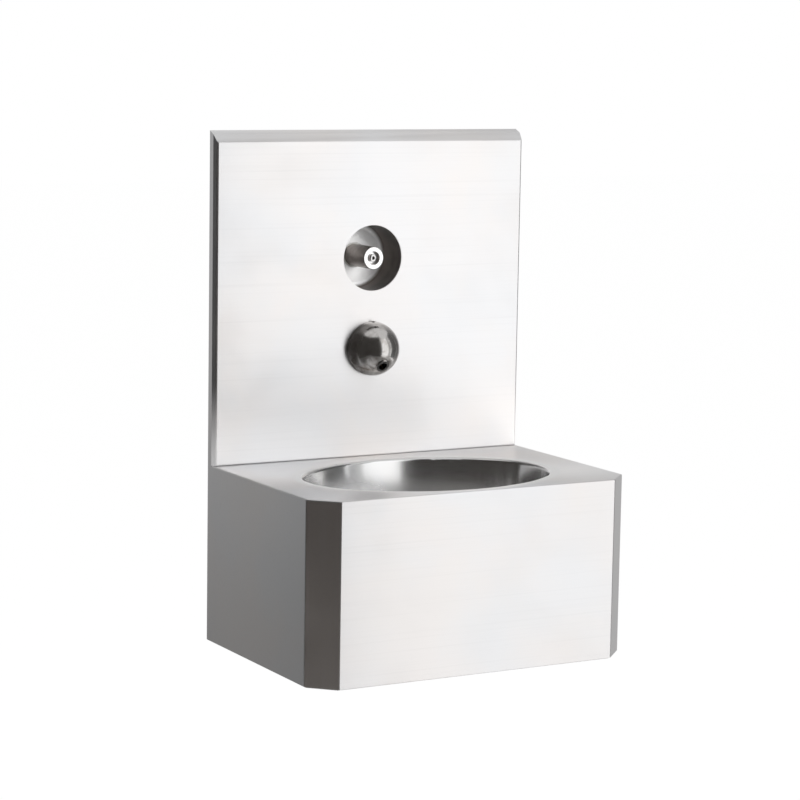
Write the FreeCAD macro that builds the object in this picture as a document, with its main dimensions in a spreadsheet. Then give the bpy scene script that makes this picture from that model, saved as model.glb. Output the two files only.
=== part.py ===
import FreeCAD, Part
import math
import os
from types import SimpleNamespace

import Sketcher

# A wall-hung stainless steel hand wash unit: a folded casing with a pressed oval bowl, a raised
# back panel with a recessed push-button timed-flow valve, a domed spout under it, and a waste.
# Frame: X across the unit (0 at its centre), Y into the wall (0 at the wall), Z up
# (0 at the lower edge of the folded casing). Millimetres and degrees.

SIZES = {
    # folded casing
    "unit_width": 400,
    "unit_height": 581,
    "unit_depth": 273,
    "deck_height": 203,
    "corner_cut": 27.5,
    "sheet_gauge": 1.5,
    "bend_radius": 2.5,
    "base_flange": 20,
    "wall_flange": 25,
    "deck_edge_radius": 1.4,
    # raised back panel and the rail over it
    "panel_stand_off": 17,
    "upright_depth": 9,
    "panel_side_inset": 1.5,
    "panel_top_slope": 12.7,
    "rail_fall": 4,
    "rail_front_lip": 14,
    "rail_rear_lip": 25,
    "panel_edge_radius": 2,
    # sill and underside
    "sill_height": 30,
    "sill_depth": 25,
    "underside_inset": 3,
    "trap_opening_radius": 40,
    "underside_screw_radius": 2,
    "underside_screw_head_radius": 3.5,
    "underside_screw_length": 9,
    "underside_screw_front_x": 110,
    "underside_screw_front_y": 176,
    "underside_screw_rear_y": 60,
    # wall fixings
    "wall_bolt_from_side": 13,
    "wall_bolt_from_base": 60,
    "wall_bolt_from_top": 61,
    "wall_hole_radius": 4.5,
    "weld_nut_bore_radius": 4,
    "weld_nut_flats": 13,
    "weld_nut_height": 6.5,
    # bowl
    "bowl_centre_depth": 152,
    "bowl_half_length": 147,
    "bowl_half_width": 107,
    "bowl_end_radius": 84,
    "bowl_depth": 120,
    "bowl_gauge": 1.2,
    "bowl_draft": 9,
    "bowl_cove_radius": 35,
    "bowl_rim_radius": 5,
    "bowl_rim_width": 12,
    # waste
    "waste_flange_radius": 32,
    "waste_flange_height": 1,
    "waste_rim_height": 1,
    "waste_seat_clearance": 1,
    "waste_seal_height": 1,
    "waste_tail_radius": 20.95,
    "waste_bore_radius": 18.5,
    "waste_tail_end": 14,
    "waste_spigot_length": 30,
    "waste_groove_length": 3,
    "waste_groove_depth": 0.8,
    "waste_hole_clearance": 0.6,
    "grid_radius": 26.9,
    "grid_hole_radius": 3,
    "grid_inner_pitch_radius": 11,
    "grid_outer_pitch_radius": 20,
    "waste_bar_width": 9,
    "waste_bar_height": 5,
    "waste_bar_drop": 6,
    "waste_screw_radius": 2.5,
    "waste_screw_head_radius": 5,
    "waste_screw_head_height": 2,
    "waste_washer_radius": 31,
    "waste_washer_height": 3.5,
    "waste_nut_flats": 52,
    "waste_nut_height": 8,
    # recess cup round the button
    "button_height": 434,
    "recess_radius": 38,
    "recess_depth": 46,
    "recess_corner_radius": 6,
    "recess_flange_radius": 50,
    # push button
    "button_radius": 13,
    "button_proud": 2,
    "button_travel": 6,
    "button_well_radius": 8,
    "button_well_depth": 6,
    "button_edge_radius": 1,
    "button_screw_head_radius": 4.25,
    "button_screw_head_height": 5,
    "button_screw_radius": 2.5,
    "button_screw_length": 20,
    "button_screw_socket": 4,
    "button_screw_socket_depth": 3,
    "running_clearance": 0.05,
    "stop_gap": 0.1,
    # guide bush
    "bush_wall": 1.5,
    "bush_flange_radius": 20,
    "bush_hole_clearance": 0.2,
    # valve
    "gasket_gauge": 1.5,
    "valve_flange_radius": 32,
    "valve_flange_height": 5,
    "valve_body_radius": 21,
    "spring_chamber_radius": 17,
    "spring_chamber_length": 34,
    "gland_length": 7,
    "gland_groove_length": 2.4,
    "gland_groove_radius": 7.2,
    "stem_seal_radius": 1,
    "outlet_chamber_length": 13,
    "outlet_chamber_radius": 12,
    "seat_length": 3,
    "seat_radius": 7,
    "inlet_chamber_radius": 13,
    "outlet_boss_radius": 10.48,
    "outlet_boss_drop": 40,
    "outlet_bore_radius": 6,
    "stud_pitch_radius": 26.5,
    "stud_radius": 2.5,
    "stud_hole_radius": 2.8,
    "stud_length": 14,
    "stud_nut_flats": 8,
    "stud_nut_height": 4,
    # stem, piston and spring
    "stem_radius": 5,
    "stem_collar_radius": 15.5,
    "stem_collar_height": 3,
    "stem_nose": 38,
    "stem_tail_radius": 4,
    "piston_radius": 10,
    "piston_height": 3,
    "piston_nut_flats": 13,
    "piston_nut_height": 4,
    "piston_end_gap": 0.8,
    "spring_wire_radius": 0.9,
    "spring_coil_radius": 10,
    "spring_turns": 5,
    # inlet union
    "union_hex_flats": 30,
    "union_hex_length": 9,
    "union_plug_length": 8,
    "union_thread_radius": 10.48,
    "union_thread_length": 15,
    "union_bore_radius": 6.5,
    "union_washer_gauge": 1.5,
    # spout
    "spout_below_button": 105,
    "spout_radius": 31.5,
    "spout_skirt": 1.2,
    "spout_gasket_gauge": 0.6,
    "spout_bore_radius": 8,
    "spout_bore_depth": 18,
    "spout_socket_depth": 9,
    "outlet_tilt": 34,
    "nozzle_radius": 6.5,
    "nozzle_bore_radius": 5,
    "nozzle_length": 15,
    "nozzle_lip_radius": 8.5,
    "nozzle_lip_height": 2,
    "nozzle_lip_proud": 0.5,
    "nozzle_lip_chamfer": 0.7,
    "nozzle_clearance": 0.1,
    "grub_screw_radius": 2,
    "grub_screw_length": 7,
    "grub_screw_proud": 0.6,
    # spout shank and its nuts
    "shank_radius": 10.48,
    "shank_bore_radius": 7.6,
    "shank_hole_clearance": 0.52,
    "shank_end": 16,
    "shank_washer_radius": 18,
    "shank_washer_gauge": 2,
    "shank_nut_flats": 27,
    "shank_nut_height": 7,
    # pipe between valve and spout
    "pipe_radius": 7.5,
    "pipe_gauge": 1,
    "pipe_bend_radius": 30,
    "olive_length": 3,
    "pipe_nut_flats": 25,
    "pipe_nut_height": 14,
    "pipe_nut_grip": 8,
    "pipe_nut_clearance": 0.1,
}

PIECES = []
volumes = {}
UP = FreeCAD.Vector(0, 0, 1)
ACROSS = FreeCAD.Vector(1, 0, 0)
INTO_WALL = -90
NEAR = 1e-4

doc = FreeCAD.newDocument("HandWashSink")
sheet = doc.addObject("Spreadsheet::Sheet", "Sizes")
for row, (alias, amount) in enumerate(SIZES.items(), 1):
    sheet.set(f"A{row}", alias)
    sheet.set(f"B{row}", str(amount))
    sheet.setAlias(f"B{row}", alias)
doc.recompute()


class Size:
    """A length that carries both its value and the expression that ties it to the sheet."""

    def __init__(self, text, amount):
        self.text = text
        self.amount = amount

    def __float__(self):
        return float(self.amount)

    def __add__(self, other):
        return Size(f"({self.text} + {text_of(other)})", self.amount + float(other))

    def __sub__(self, other):
        return Size(f"({self.text} - {text_of(other)})", self.amount - float(other))

    def __mul__(self, other):
        return Size(f"({self.text} * {text_of(other)})", self.amount * float(other))

    def __truediv__(self, other):
        return Size(f"({self.text} / {text_of(other)})", self.amount / float(other))

    def __radd__(self, other):
        return Size(text_of(other), float(other)) + self

    def __rsub__(self, other):
        return Size(text_of(other), float(other)) - self

    def __rmul__(self, other):
        return self * other

    def __neg__(self):
        return self * -1


def text_of(size):
    return size.text if isinstance(size, Size) else repr(float(size))


def root(size):
    return Size(f"sqrt({size.text})", math.sqrt(size.amount))


ROOT_TWO = root(Size("2", 2))
ROOT_THREE = root(Size("3", 3))
d = SimpleNamespace(**{alias: Size(f"Sizes.{alias}", amount) for alias, amount in SIZES.items()})


# ---------------------------------------------------------------- drawing helpers


def piece(label, along_y=False, x=0, y=0, z=0, turn=None):
    """A new body with its own name, its Z axis upright, or pointing into the wall."""
    body = doc.addObject("PartDesign::Body", label)
    body.Label = label
    degrees = turn if turn is not None else (INTO_WALL if along_y else 0)
    base = FreeCAD.Vector(float(x), float(y), float(z))
    body.Placement = FreeCAD.Placement(base, FreeCAD.Rotation(ACROSS, float(degrees)))
    for letter, place in (("x", x), ("y", y), ("z", z)):
        if isinstance(place, Size):
            body.setExpression(f"Placement.Base.{letter}", place.text)
    if isinstance(degrees, Size):
        body.setExpression("Placement.Rotation.Angle", degrees.text)
    PIECES.append(body)
    return body


def former(label, x=0, y=0, z=0):
    """A body that only shapes another one, so it isn't a piece of its own."""
    body = piece(label, x=x, y=y, z=z)
    PIECES.remove(body)
    return body


def plane_of(body, role):
    return next(f for f in body.Origin.OriginFeatures if f.Role == role)


def sketch_on(body, role, offset=0):
    """A sketch on one of the body's own planes, moved along that plane's normal."""
    sketch = body.newObject("Sketcher::SketchObject", f"{body.Name}_sketch")
    sketch.AttachmentSupport = (plane_of(body, role), [""])
    sketch.MapMode = "FlatFace"
    sketch.AttachmentOffset = FreeCAD.Placement(UP * float(offset), FreeCAD.Rotation())
    if isinstance(offset, Size):
        sketch.setExpression("AttachmentOffset.Base.z", offset.text)
    return sketch


def hold(sketch, kind, shape, point, amount):
    """Holds one coordinate of a sketch point at a size, or on the axis where it is 0."""
    if not isinstance(amount, Size) and amount == 0:
        axis = -2 if kind == "DistanceX" else -1
        sketch.addConstraint(Sketcher.Constraint("PointOnObject", shape, point, axis))
        return
    number = sketch.addConstraint(Sketcher.Constraint(kind, -1, 1, shape, point, float(amount)))
    if isinstance(amount, Size):
        sketch.setExpression(f"Constraints[{number}]", amount.text)


def closed_line(sketch, points):
    """A closed outline of straight edges, every corner held at its own two sizes."""
    corners = [FreeCAD.Vector(float(x), float(y), 0) for x, y in points]
    following = corners[1:] + corners[:1]
    edges = [sketch.addGeometry(Part.LineSegment(a, b)) for a, b in zip(corners, following)]
    for edge, after in zip(edges, edges[1:] + edges[:1]):
        sketch.addConstraint(Sketcher.Constraint("Coincident", edge, 2, after, 1))
    for edge, (x, y) in zip(edges, points):
        hold(sketch, "DistanceX", edge, 1, x)
        hold(sketch, "DistanceY", edge, 1, y)


def circle(sketch, radius, x=0, y=0):
    centre = FreeCAD.Vector(float(x), float(y), 0)
    shape = sketch.addGeometry(Part.Circle(centre, UP, float(radius)))
    number = sketch.addConstraint(Sketcher.Constraint("Radius", shape, float(radius)))
    sketch.setExpression(f"Constraints[{number}]", radius.text)
    hold(sketch, "DistanceX", shape, 3, x)
    hold(sketch, "DistanceY", shape, 3, y)


def hexagon(sketch, flats, x=0, y=0):
    half = flats / 2
    point = flats / ROOT_THREE
    corners = [(half, point / 2), (0, point), (-half, point / 2)]
    corners += [(-half, -point / 2), (0, -point), (half, -point / 2)]
    closed_line(sketch, [(x + a if a != 0 else x, y + b) for a, b in corners])


def oval(sketch, half_length, half_width, end_radius):
    """Two end arcs and two side arcs, tangent where they meet, centred on the sketch."""
    reach = half_length - end_radius
    spare = half_width - end_radius
    rise = (reach * reach - spare * spare) / (spare * 2)
    side_radius = half_width + rise
    meet = math.atan2(float(rise), float(reach))
    arcs = [
        (float(reach), 0, end_radius, -meet, meet),
        (0, -float(rise), side_radius, meet, math.pi - meet),
        (-float(reach), 0, end_radius, math.pi - meet, math.pi + meet),
        (0, float(rise), side_radius, math.pi + meet, 2 * math.pi - meet),
    ]
    shapes = []
    for x, y, radius, start, end in arcs:
        ring = Part.Circle(FreeCAD.Vector(x, y, 0), UP, float(radius))
        shapes.append(sketch.addGeometry(Part.ArcOfCircle(ring, start, end)))
    for shape, after in zip(shapes, shapes[1:] + shapes[:1]):
        sketch.addConstraint(Sketcher.Constraint("Tangent", shape, 2, after, 1))
    for shape, sign in ((shapes[0], 1), (shapes[2], -1)):
        number = sketch.addConstraint(Sketcher.Constraint("Radius", shape, float(end_radius)))
        sketch.setExpression(f"Constraints[{number}]", end_radius.text)
        hold(sketch, "DistanceX", shape, 3, reach * sign)
        hold(sketch, "DistanceY", shape, 3, 0)
    hold(sketch, "DistanceY", shapes[1], 3, -rise)
    hold(sketch, "DistanceY", shapes[3], 3, rise)


def bind(feature, name, amount):
    if isinstance(amount, Size):
        feature.setExpression(name, amount.text)
    else:
        setattr(feature, name, amount)


def pad(body, sketch, length, back=False, both_ways=False, taper=None):
    """Adds the sketch's area, along its normal unless it is told to go back."""
    feature = body.newObject("PartDesign::Pad", f"{body.Name}_pad")
    feature.Profile = sketch
    bind(feature, "Length", length)
    feature.Reversed = back
    if both_ways:
        feature.SideType = "Symmetric"
    if taper is not None:
        bind(feature, "TaperAngle", taper)
    return finished(body, feature, 1)


def pocket(body, sketch, depth, back=False, both_ways=False, taper=None):
    """Takes the sketch's area away, against its normal unless it is told to go back."""
    feature = body.newObject("PartDesign::Pocket", f"{body.Name}_pocket")
    feature.Profile = sketch
    bind(feature, "Length", depth)
    feature.Reversed = back
    if both_ways:
        feature.SideType = "Symmetric"
    if taper is not None:
        bind(feature, "TaperAngle", taper)
    return finished(body, feature, -1)


def revolve(body, sketch, cut=False):
    """Turns the sketch round its own upright axis, to add it or to cut it."""
    kind = "Groove" if cut else "Revolution"
    feature = body.newObject(f"PartDesign::{kind}", f"{body.Name}_{kind.lower()}")
    feature.Profile = sketch
    feature.ReferenceAxis = (sketch, ["V_Axis"])
    feature.Angle = 360
    return finished(body, feature, -1 if cut else 1)


def finished(body, feature, change):
    """Recomputes and checks that the feature added or removed some material."""
    before = volumes.get(body.Name, 0)
    body.Tip = feature
    doc.recompute()
    if "Invalid" in feature.State:
        raise RuntimeError(f"{feature.Name} failed")
    volumes[body.Name] = feature.Shape.Volume
    if (feature.Shape.Volume - before) * change <= 0:
        raise RuntimeError(f"{feature.Name} changes nothing: {before} {feature.Shape.Volume}")
    return feature


def edges_where(feature, test):
    return [f"Edge{n}" for n, edge in enumerate(feature.Shape.Edges, 1) if test(edge)]


def soften(body, radius, test, kind="Fillet"):
    """Rounds or chamfers the edges of the body that the test picks."""
    base = body.Tip
    names = edges_where(base, test)
    if not names:
        raise RuntimeError(f"{body.Name} has no such edge")
    feature = body.newObject(f"PartDesign::{kind}", f"{body.Name}_{kind.lower()}")
    feature.Base = (base, names)
    bind(feature, "Radius" if kind == "Fillet" else "Size", radius)
    doc.recompute()
    if "Invalid" in feature.State or not feature.Shape.isValid():
        raise RuntimeError(f"{feature.Name} failed")
    body.Tip = feature
    volumes[body.Name] = feature.Shape.Volume
    return feature


def mirrored(body, features):
    """Repeats features on the other side of the unit's middle plane."""
    feature = body.newObject("PartDesign::Mirrored", f"{body.Name}_mirrored")
    feature.Originals = features
    feature.MirrorPlane = (plane_of(body, "YZ_Plane"), [""])
    return finished(body, feature, 1)


def turned(label, profile, along_y=True, x=0, y=0, z=0, turn=None):
    """A round piece, from (radius, distance along its axis) corners."""
    body = piece(label, along_y, x, y, z, turn)
    sketch = sketch_on(body, "XZ_Plane")
    closed_line(sketch, profile)
    revolve(body, sketch)
    return body


def ring_edge(radius, height):
    """Picks the full circles of one radius at one place along a turned piece's axis."""

    def test(edge):
        curve = edge.Curve
        if not isinstance(curve, Part.Circle):
            return False
        return abs(curve.Radius - float(radius)) < NEAR and abs(curve.Center.z - float(height)) < NEAR

    return test


def box_outline(left, right, low, high):
    return [(left, low), (right, low), (right, high), (left, high)]


def hex_nut(label, flats, height, bore, start, along_y=True, x=0, y=0, z=0):
    """A hexagon with a bore, its corners turned off at the far face."""
    body = piece(label, along_y, x, y, z)
    sketch = sketch_on(body, "XY_Plane", start)
    hexagon(sketch, flats)
    pad(body, sketch, height)
    bore_sketch = sketch_on(body, "XY_Plane", start + height)
    circle(bore_sketch, bore)
    pocket(body, bore_sketch, height)
    turn_off_corners(body, flats, start + height)
    return body


def turn_off_corners(body, flats, face):
    corner = flats / ROOT_THREE
    drop = corner - flats / 2
    sketch = sketch_on(body, "XZ_Plane")
    closed_line(sketch, [(flats / 2, face), (corner + drop, face), (corner + drop, face - drop)])
    revolve(body, sketch, cut=True)


# ---------------------------------------------------------------- shared places

HALF_BEND = math.tan(math.radians(22.5))
side = d.unit_width / 2
casing_top = d.deck_height - d.sheet_gauge
rail_slope = d.rail_fall / d.upright_depth
rail_gauge = d.sheet_gauge * root(1 + rail_slope * rail_slope)
panel_face = -d.panel_stand_off
panel_back = panel_face + d.sheet_gauge
spout_height = d.button_height - d.spout_below_button


def rail_top(depth):
    """Height of the sloping top at a depth in front of the wall."""
    return d.unit_height - rail_slope * depth


def plan_outline(inset, rear):
    """Corners of the casing's plan moved in by inset, from the rear right round the front."""
    cut_end = d.corner_cut + inset * HALF_BEND
    front = d.unit_depth - inset
    right = [
        (side - inset, rear),
        (side - inset, -(d.unit_depth - cut_end)),
        (side - cut_end, -front),
    ]
    return right + [(-x, y) for x, y in reversed(right)]


def upright_corner(edge):
    """Picks the upright edges at the casing's four front corners."""
    ends = [v.Point for v in edge.Vertexes]
    if len(ends) != 2 or abs(ends[0].z - ends[1].z) < 1:
        return False
    straight = abs(ends[0].x - ends[1].x) < NEAR and abs(ends[0].y - ends[1].y) < NEAR
    return straight and ends[0].y < -float(d.unit_depth) / 2


def outer_corner(edge):
    point = edge.Vertexes[0].Point
    outline = plan_outline(0, 0)
    near = [abs(point.x - float(x)) + abs(point.y - float(y)) for x, y in outline]
    return upright_corner(edge) and min(near) < NEAR


def inner_corner(edge):
    return upright_corner(edge) and not outer_corner(edge)


# ---------------------------------------------------------------- casing


def casing_wrap():
    """Sides, cut corners and front folded from one sheet, with an upright behind each side."""
    body = piece("casing_wrap")
    wall = sketch_on(body, "XY_Plane")
    inner = plan_outline(d.sheet_gauge, -d.sheet_gauge)
    closed_line(wall, plan_outline(0, -d.sheet_gauge) + inner[::-1])
    pad(body, wall, casing_top)
    soften(body, d.bend_radius, outer_corner)
    soften(body, d.bend_radius - d.sheet_gauge, inner_corner)

    flange = sketch_on(body, "XY_Plane")
    flange_inner = plan_outline(d.sheet_gauge + d.base_flange, -d.sheet_gauge)
    flange_outer = plan_outline(d.sheet_gauge / 2, -d.sheet_gauge)
    closed_line(flange, flange_outer + flange_inner[::-1])
    pad(body, flange, d.sheet_gauge)

    upright = sketch_on(body, "YZ_Plane", side - d.sheet_gauge)
    top_rear = d.unit_height - rail_gauge
    top_front = rail_top(d.upright_depth) - rail_gauge
    upright_outline = [(0, 0), (0, top_rear), (-d.upright_depth, top_front), (-d.upright_depth, 0)]
    closed_line(upright, upright_outline)
    upright_pad = pad(body, upright, d.sheet_gauge)

    wall_flange = sketch_on(body, "XZ_Plane")
    flange_top = d.unit_height - d.rail_rear_lip
    closed_line(wall_flange, box_outline(side - d.wall_flange, side - d.sheet_gauge / 2, 0, flange_top))
    wall_flange_pad = pad(body, wall_flange, d.sheet_gauge)
    mirrored(body, [upright_pad, wall_flange_pad])

    holes = sketch_on(body, "XZ_Plane")
    for x, z in wall_bolt_places():
        circle(holes, d.wall_hole_radius, x, z)
    pocket(body, holes, d.sheet_gauge, back=True)

    taps = sketch_on(body, "XY_Plane", d.sheet_gauge)
    for x, y in underside_screw_places():
        circle(taps, d.underside_screw_radius + d.running_clearance, x, y)
    pocket(body, taps, d.sheet_gauge)


def wall_bolt_places():
    across = side - d.wall_bolt_from_side
    heights = (d.wall_bolt_from_base, d.unit_height - d.wall_bolt_from_top)
    return [(x, z) for z in heights for x in (-across, across)]


def wall_weld_nuts():
    """Four nuts welded inside the wall flanges, for bolts that come through from behind."""
    body = piece("wall_weld_nuts")
    body.AllowCompound = True
    nuts = sketch_on(body, "XZ_Plane", d.sheet_gauge)
    for x, z in wall_bolt_places():
        hexagon(nuts, d.weld_nut_flats, x, z)
    pad(body, nuts, d.weld_nut_height)
    bores = sketch_on(body, "XZ_Plane", d.sheet_gauge + d.weld_nut_height)
    for x, z in wall_bolt_places():
        circle(bores, d.weld_nut_bore_radius, x, z)
    pocket(body, bores, d.weld_nut_height)


def top_rail():
    """The sloping strip along the top, with a lip down at its front and at the wall."""
    body = piece("top_rail")
    slope = sketch_on(body, "YZ_Plane")
    depth = d.upright_depth
    top = [(0, rail_top(0)), (-depth, rail_top(depth))]
    closed_line(slope, top + [(y, z - rail_gauge) for y, z in reversed(top)])
    pad(body, slope, d.unit_width, both_ways=True)
    lips = sketch_on(body, "YZ_Plane")
    inner = depth - d.sheet_gauge
    front_low = rail_top(depth) - d.rail_front_lip
    front_lip = [
        (-depth, front_low),
        (-inner, front_low),
        (-inner, rail_top(inner) - rail_gauge / 2),
        (-depth, rail_top(depth) - rail_gauge / 2),
    ]
    rear_low = d.unit_height - d.rail_rear_lip
    rear_lip = [
        (-d.sheet_gauge, rear_low),
        (0, rear_low),
        (0, rail_top(0) - rail_gauge / 2),
        (-d.sheet_gauge, rail_top(d.sheet_gauge) - rail_gauge / 2),
    ]
    closed_line(lips, front_lip)
    closed_line(lips, rear_lip)
    pad(body, lips, d.unit_width - d.sheet_gauge * 2, both_ways=True)


def rear_sill():
    """An angle along the lower edge at the wall, between the two wall flanges."""
    body = piece("rear_sill")
    section = sketch_on(body, "YZ_Plane")
    gauge = d.sheet_gauge
    corners = [(0, 0), (0, d.sill_height), (-gauge, d.sill_height), (-gauge, gauge)]
    closed_line(section, corners + [(-d.sill_depth, gauge), (-d.sill_depth, 0)])
    pad(body, section, d.unit_width - d.wall_flange * 2, both_ways=True)


def splashback_tray():
    """The raised back panel: a shallow tray whose sides slope back to the uprights."""
    body = piece("splashback_tray")
    front_top = d.unit_height - d.panel_top_slope
    rear_top = rail_top(d.upright_depth)
    block = sketch_on(body, "XZ_Plane", d.upright_depth)
    closed_line(block, box_outline(-side, side, d.deck_height, rear_top))
    pad(body, block, d.panel_stand_off - d.upright_depth)
    slope = sketch_on(body, "YZ_Plane")
    closed_line(slope, [(-d.upright_depth, rear_top), (panel_face, rear_top), (panel_face, front_top)])
    pocket(body, slope, d.unit_width, both_ways=True)
    for sign in (-1, 1):
        edge = sketch_on(body, "XY_Plane")
        corners = [(side * sign, -d.upright_depth), (side * sign, panel_face)]
        closed_line(edge, corners + [((side - d.panel_side_inset) * sign, panel_face)])
        pocket(body, edge, d.unit_height, back=True)

    def front_edge(edge):
        return all(abs(v.Point.y - float(panel_face)) < NEAR for v in edge.Vertexes)

    soften(body, d.panel_edge_radius, front_edge)
    base = body.Tip
    rear_faces = [f"Face{n}" for n, f in enumerate(base.Shape.Faces, 1) if faces_wall(f)]
    shell = body.newObject("PartDesign::Thickness", "splashback_tray_shell")
    shell.Base = (base, rear_faces)
    bind(shell, "Value", d.sheet_gauge)
    shell.Reversed = True
    finished(body, shell, -1)
    openings = sketch_on(body, "XZ_Plane", d.panel_stand_off)
    circle(openings, d.recess_radius, 0, d.button_height)
    circle(openings, d.shank_radius + d.shank_hole_clearance, 0, spout_height)
    pocket(body, openings, d.sheet_gauge * 2)


def faces_wall(face):
    box = face.BoundBox
    return box.YLength < NEAR and abs(box.YMax + float(d.upright_depth)) < NEAR


# ---------------------------------------------------------------- deck and bowl

bowl_y = -d.bowl_centre_depth
bowl_floor = d.deck_height - d.bowl_depth
seat_depth = d.waste_seal_height + d.waste_flange_height + d.waste_rim_height
seat_floor = bowl_floor - seat_depth
seat_radius = d.waste_flange_radius + d.waste_seat_clearance
seat_under = seat_floor - d.bowl_gauge


def basin_deck():
    """The flat deck round the bowl, bent softly down at its front edges."""
    body = piece("basin_deck")
    outline = sketch_on(body, "XY_Plane", casing_top)
    closed_line(outline, plan_outline(0, -d.upright_depth))
    pad(body, outline, d.sheet_gauge)
    soften(body, d.bend_radius, upright_corner_of_deck)

    def top_edge(edge):
        high = all(abs(v.Point.z - float(d.deck_height)) < NEAR for v in edge.Vertexes)
        rear = all(abs(v.Point.y + float(d.upright_depth)) < NEAR for v in edge.Vertexes)
        return high and not rear

    soften(body, d.deck_edge_radius, top_edge)
    opening = sketch_on(body, "XY_Plane", d.deck_height)
    opening.AttachmentOffset = FreeCAD.Placement(
        FreeCAD.Vector(0, float(bowl_y), float(d.deck_height)), FreeCAD.Rotation()
    )
    opening.setExpression("AttachmentOffset.Base.y", bowl_y.text)
    grown = d.bowl_rim_width
    oval(opening, d.bowl_half_length + grown, d.bowl_half_width + grown, d.bowl_end_radius + grown)
    pocket(body, opening, d.sheet_gauge)


def upright_corner_of_deck(edge):
    ends = [v.Point for v in edge.Vertexes]
    upright = abs(ends[0].z - ends[-1].z) > float(d.sheet_gauge) / 2
    return upright and ends[0].y < -float(d.unit_depth) / 2


def basin_bowl():
    """The pressed bowl: rolled rim, drafted wall, wide cove, and a seat for the waste."""
    body = piece("basin_bowl", y=bowl_y)
    gauge = d.bowl_gauge

    rim_width = d.bowl_rim_width
    pad(body, oval_at(body, casing_top, rim_width), d.sheet_gauge)
    pad(body, oval_at(body, casing_top, gauge), d.bowl_depth, back=True, taper=-d.bowl_draft)
    soften(body, d.bowl_cove_radius + gauge, at_height(casing_top - d.bowl_depth))
    soften(body, d.bowl_rim_radius + gauge, oval_edge(casing_top, gauge))
    hollow = former("bowl_hollow")
    pad(hollow, oval_at(hollow, d.deck_height, 0), d.bowl_depth, back=True, taper=-d.bowl_draft)
    soften(hollow, d.bowl_cove_radius, at_height(bowl_floor))
    cut = body.newObject("PartDesign::Boolean", "basin_bowl_hollowed")
    cut.Type = "Cut"
    cut.Group = [hollow]
    finished(body, cut, -1)
    soften(body, d.bowl_rim_radius, oval_edge(d.deck_height, 0))
    seat = sketch_on(body, "XY_Plane", bowl_floor - gauge / 2)
    circle(seat, seat_radius + gauge)
    pad(body, seat, seat_depth + gauge / 2, back=True)
    dish = sketch_on(body, "XY_Plane", bowl_floor)
    circle(dish, seat_radius)
    pocket(body, dish, seat_depth)
    hole = sketch_on(body, "XY_Plane", seat_floor)
    circle(hole, d.waste_tail_radius + d.waste_hole_clearance)
    pocket(body, hole, gauge)


def oval_at(body, height, grown):
    """The bowl's oval at a height, grown outwards all round."""
    sketch = sketch_on(body, "XY_Plane", height)
    oval(sketch, d.bowl_half_length + grown, d.bowl_half_width + grown, d.bowl_end_radius + grown)
    return sketch


def at_height(height):
    """Picks edges that lie flat at a height."""

    def test(edge):
        box = edge.BoundBox
        return box.ZLength < NEAR and abs(box.ZMax - float(height)) < NEAR

    return test


def oval_edge(height, grown):
    """Picks the arcs of the bowl's oval at a height, grown outwards by an amount."""

    def test(edge):
        middle = edge.valueAt((edge.FirstParameter + edge.LastParameter) / 2)
        over = max(abs(middle.x) - float(d.bowl_half_length), abs(middle.y) - float(d.bowl_half_width))
        return at_height(height)(edge) and abs(over - float(grown)) < 0.01

    return test


# ---------------------------------------------------------------- waste


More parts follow.
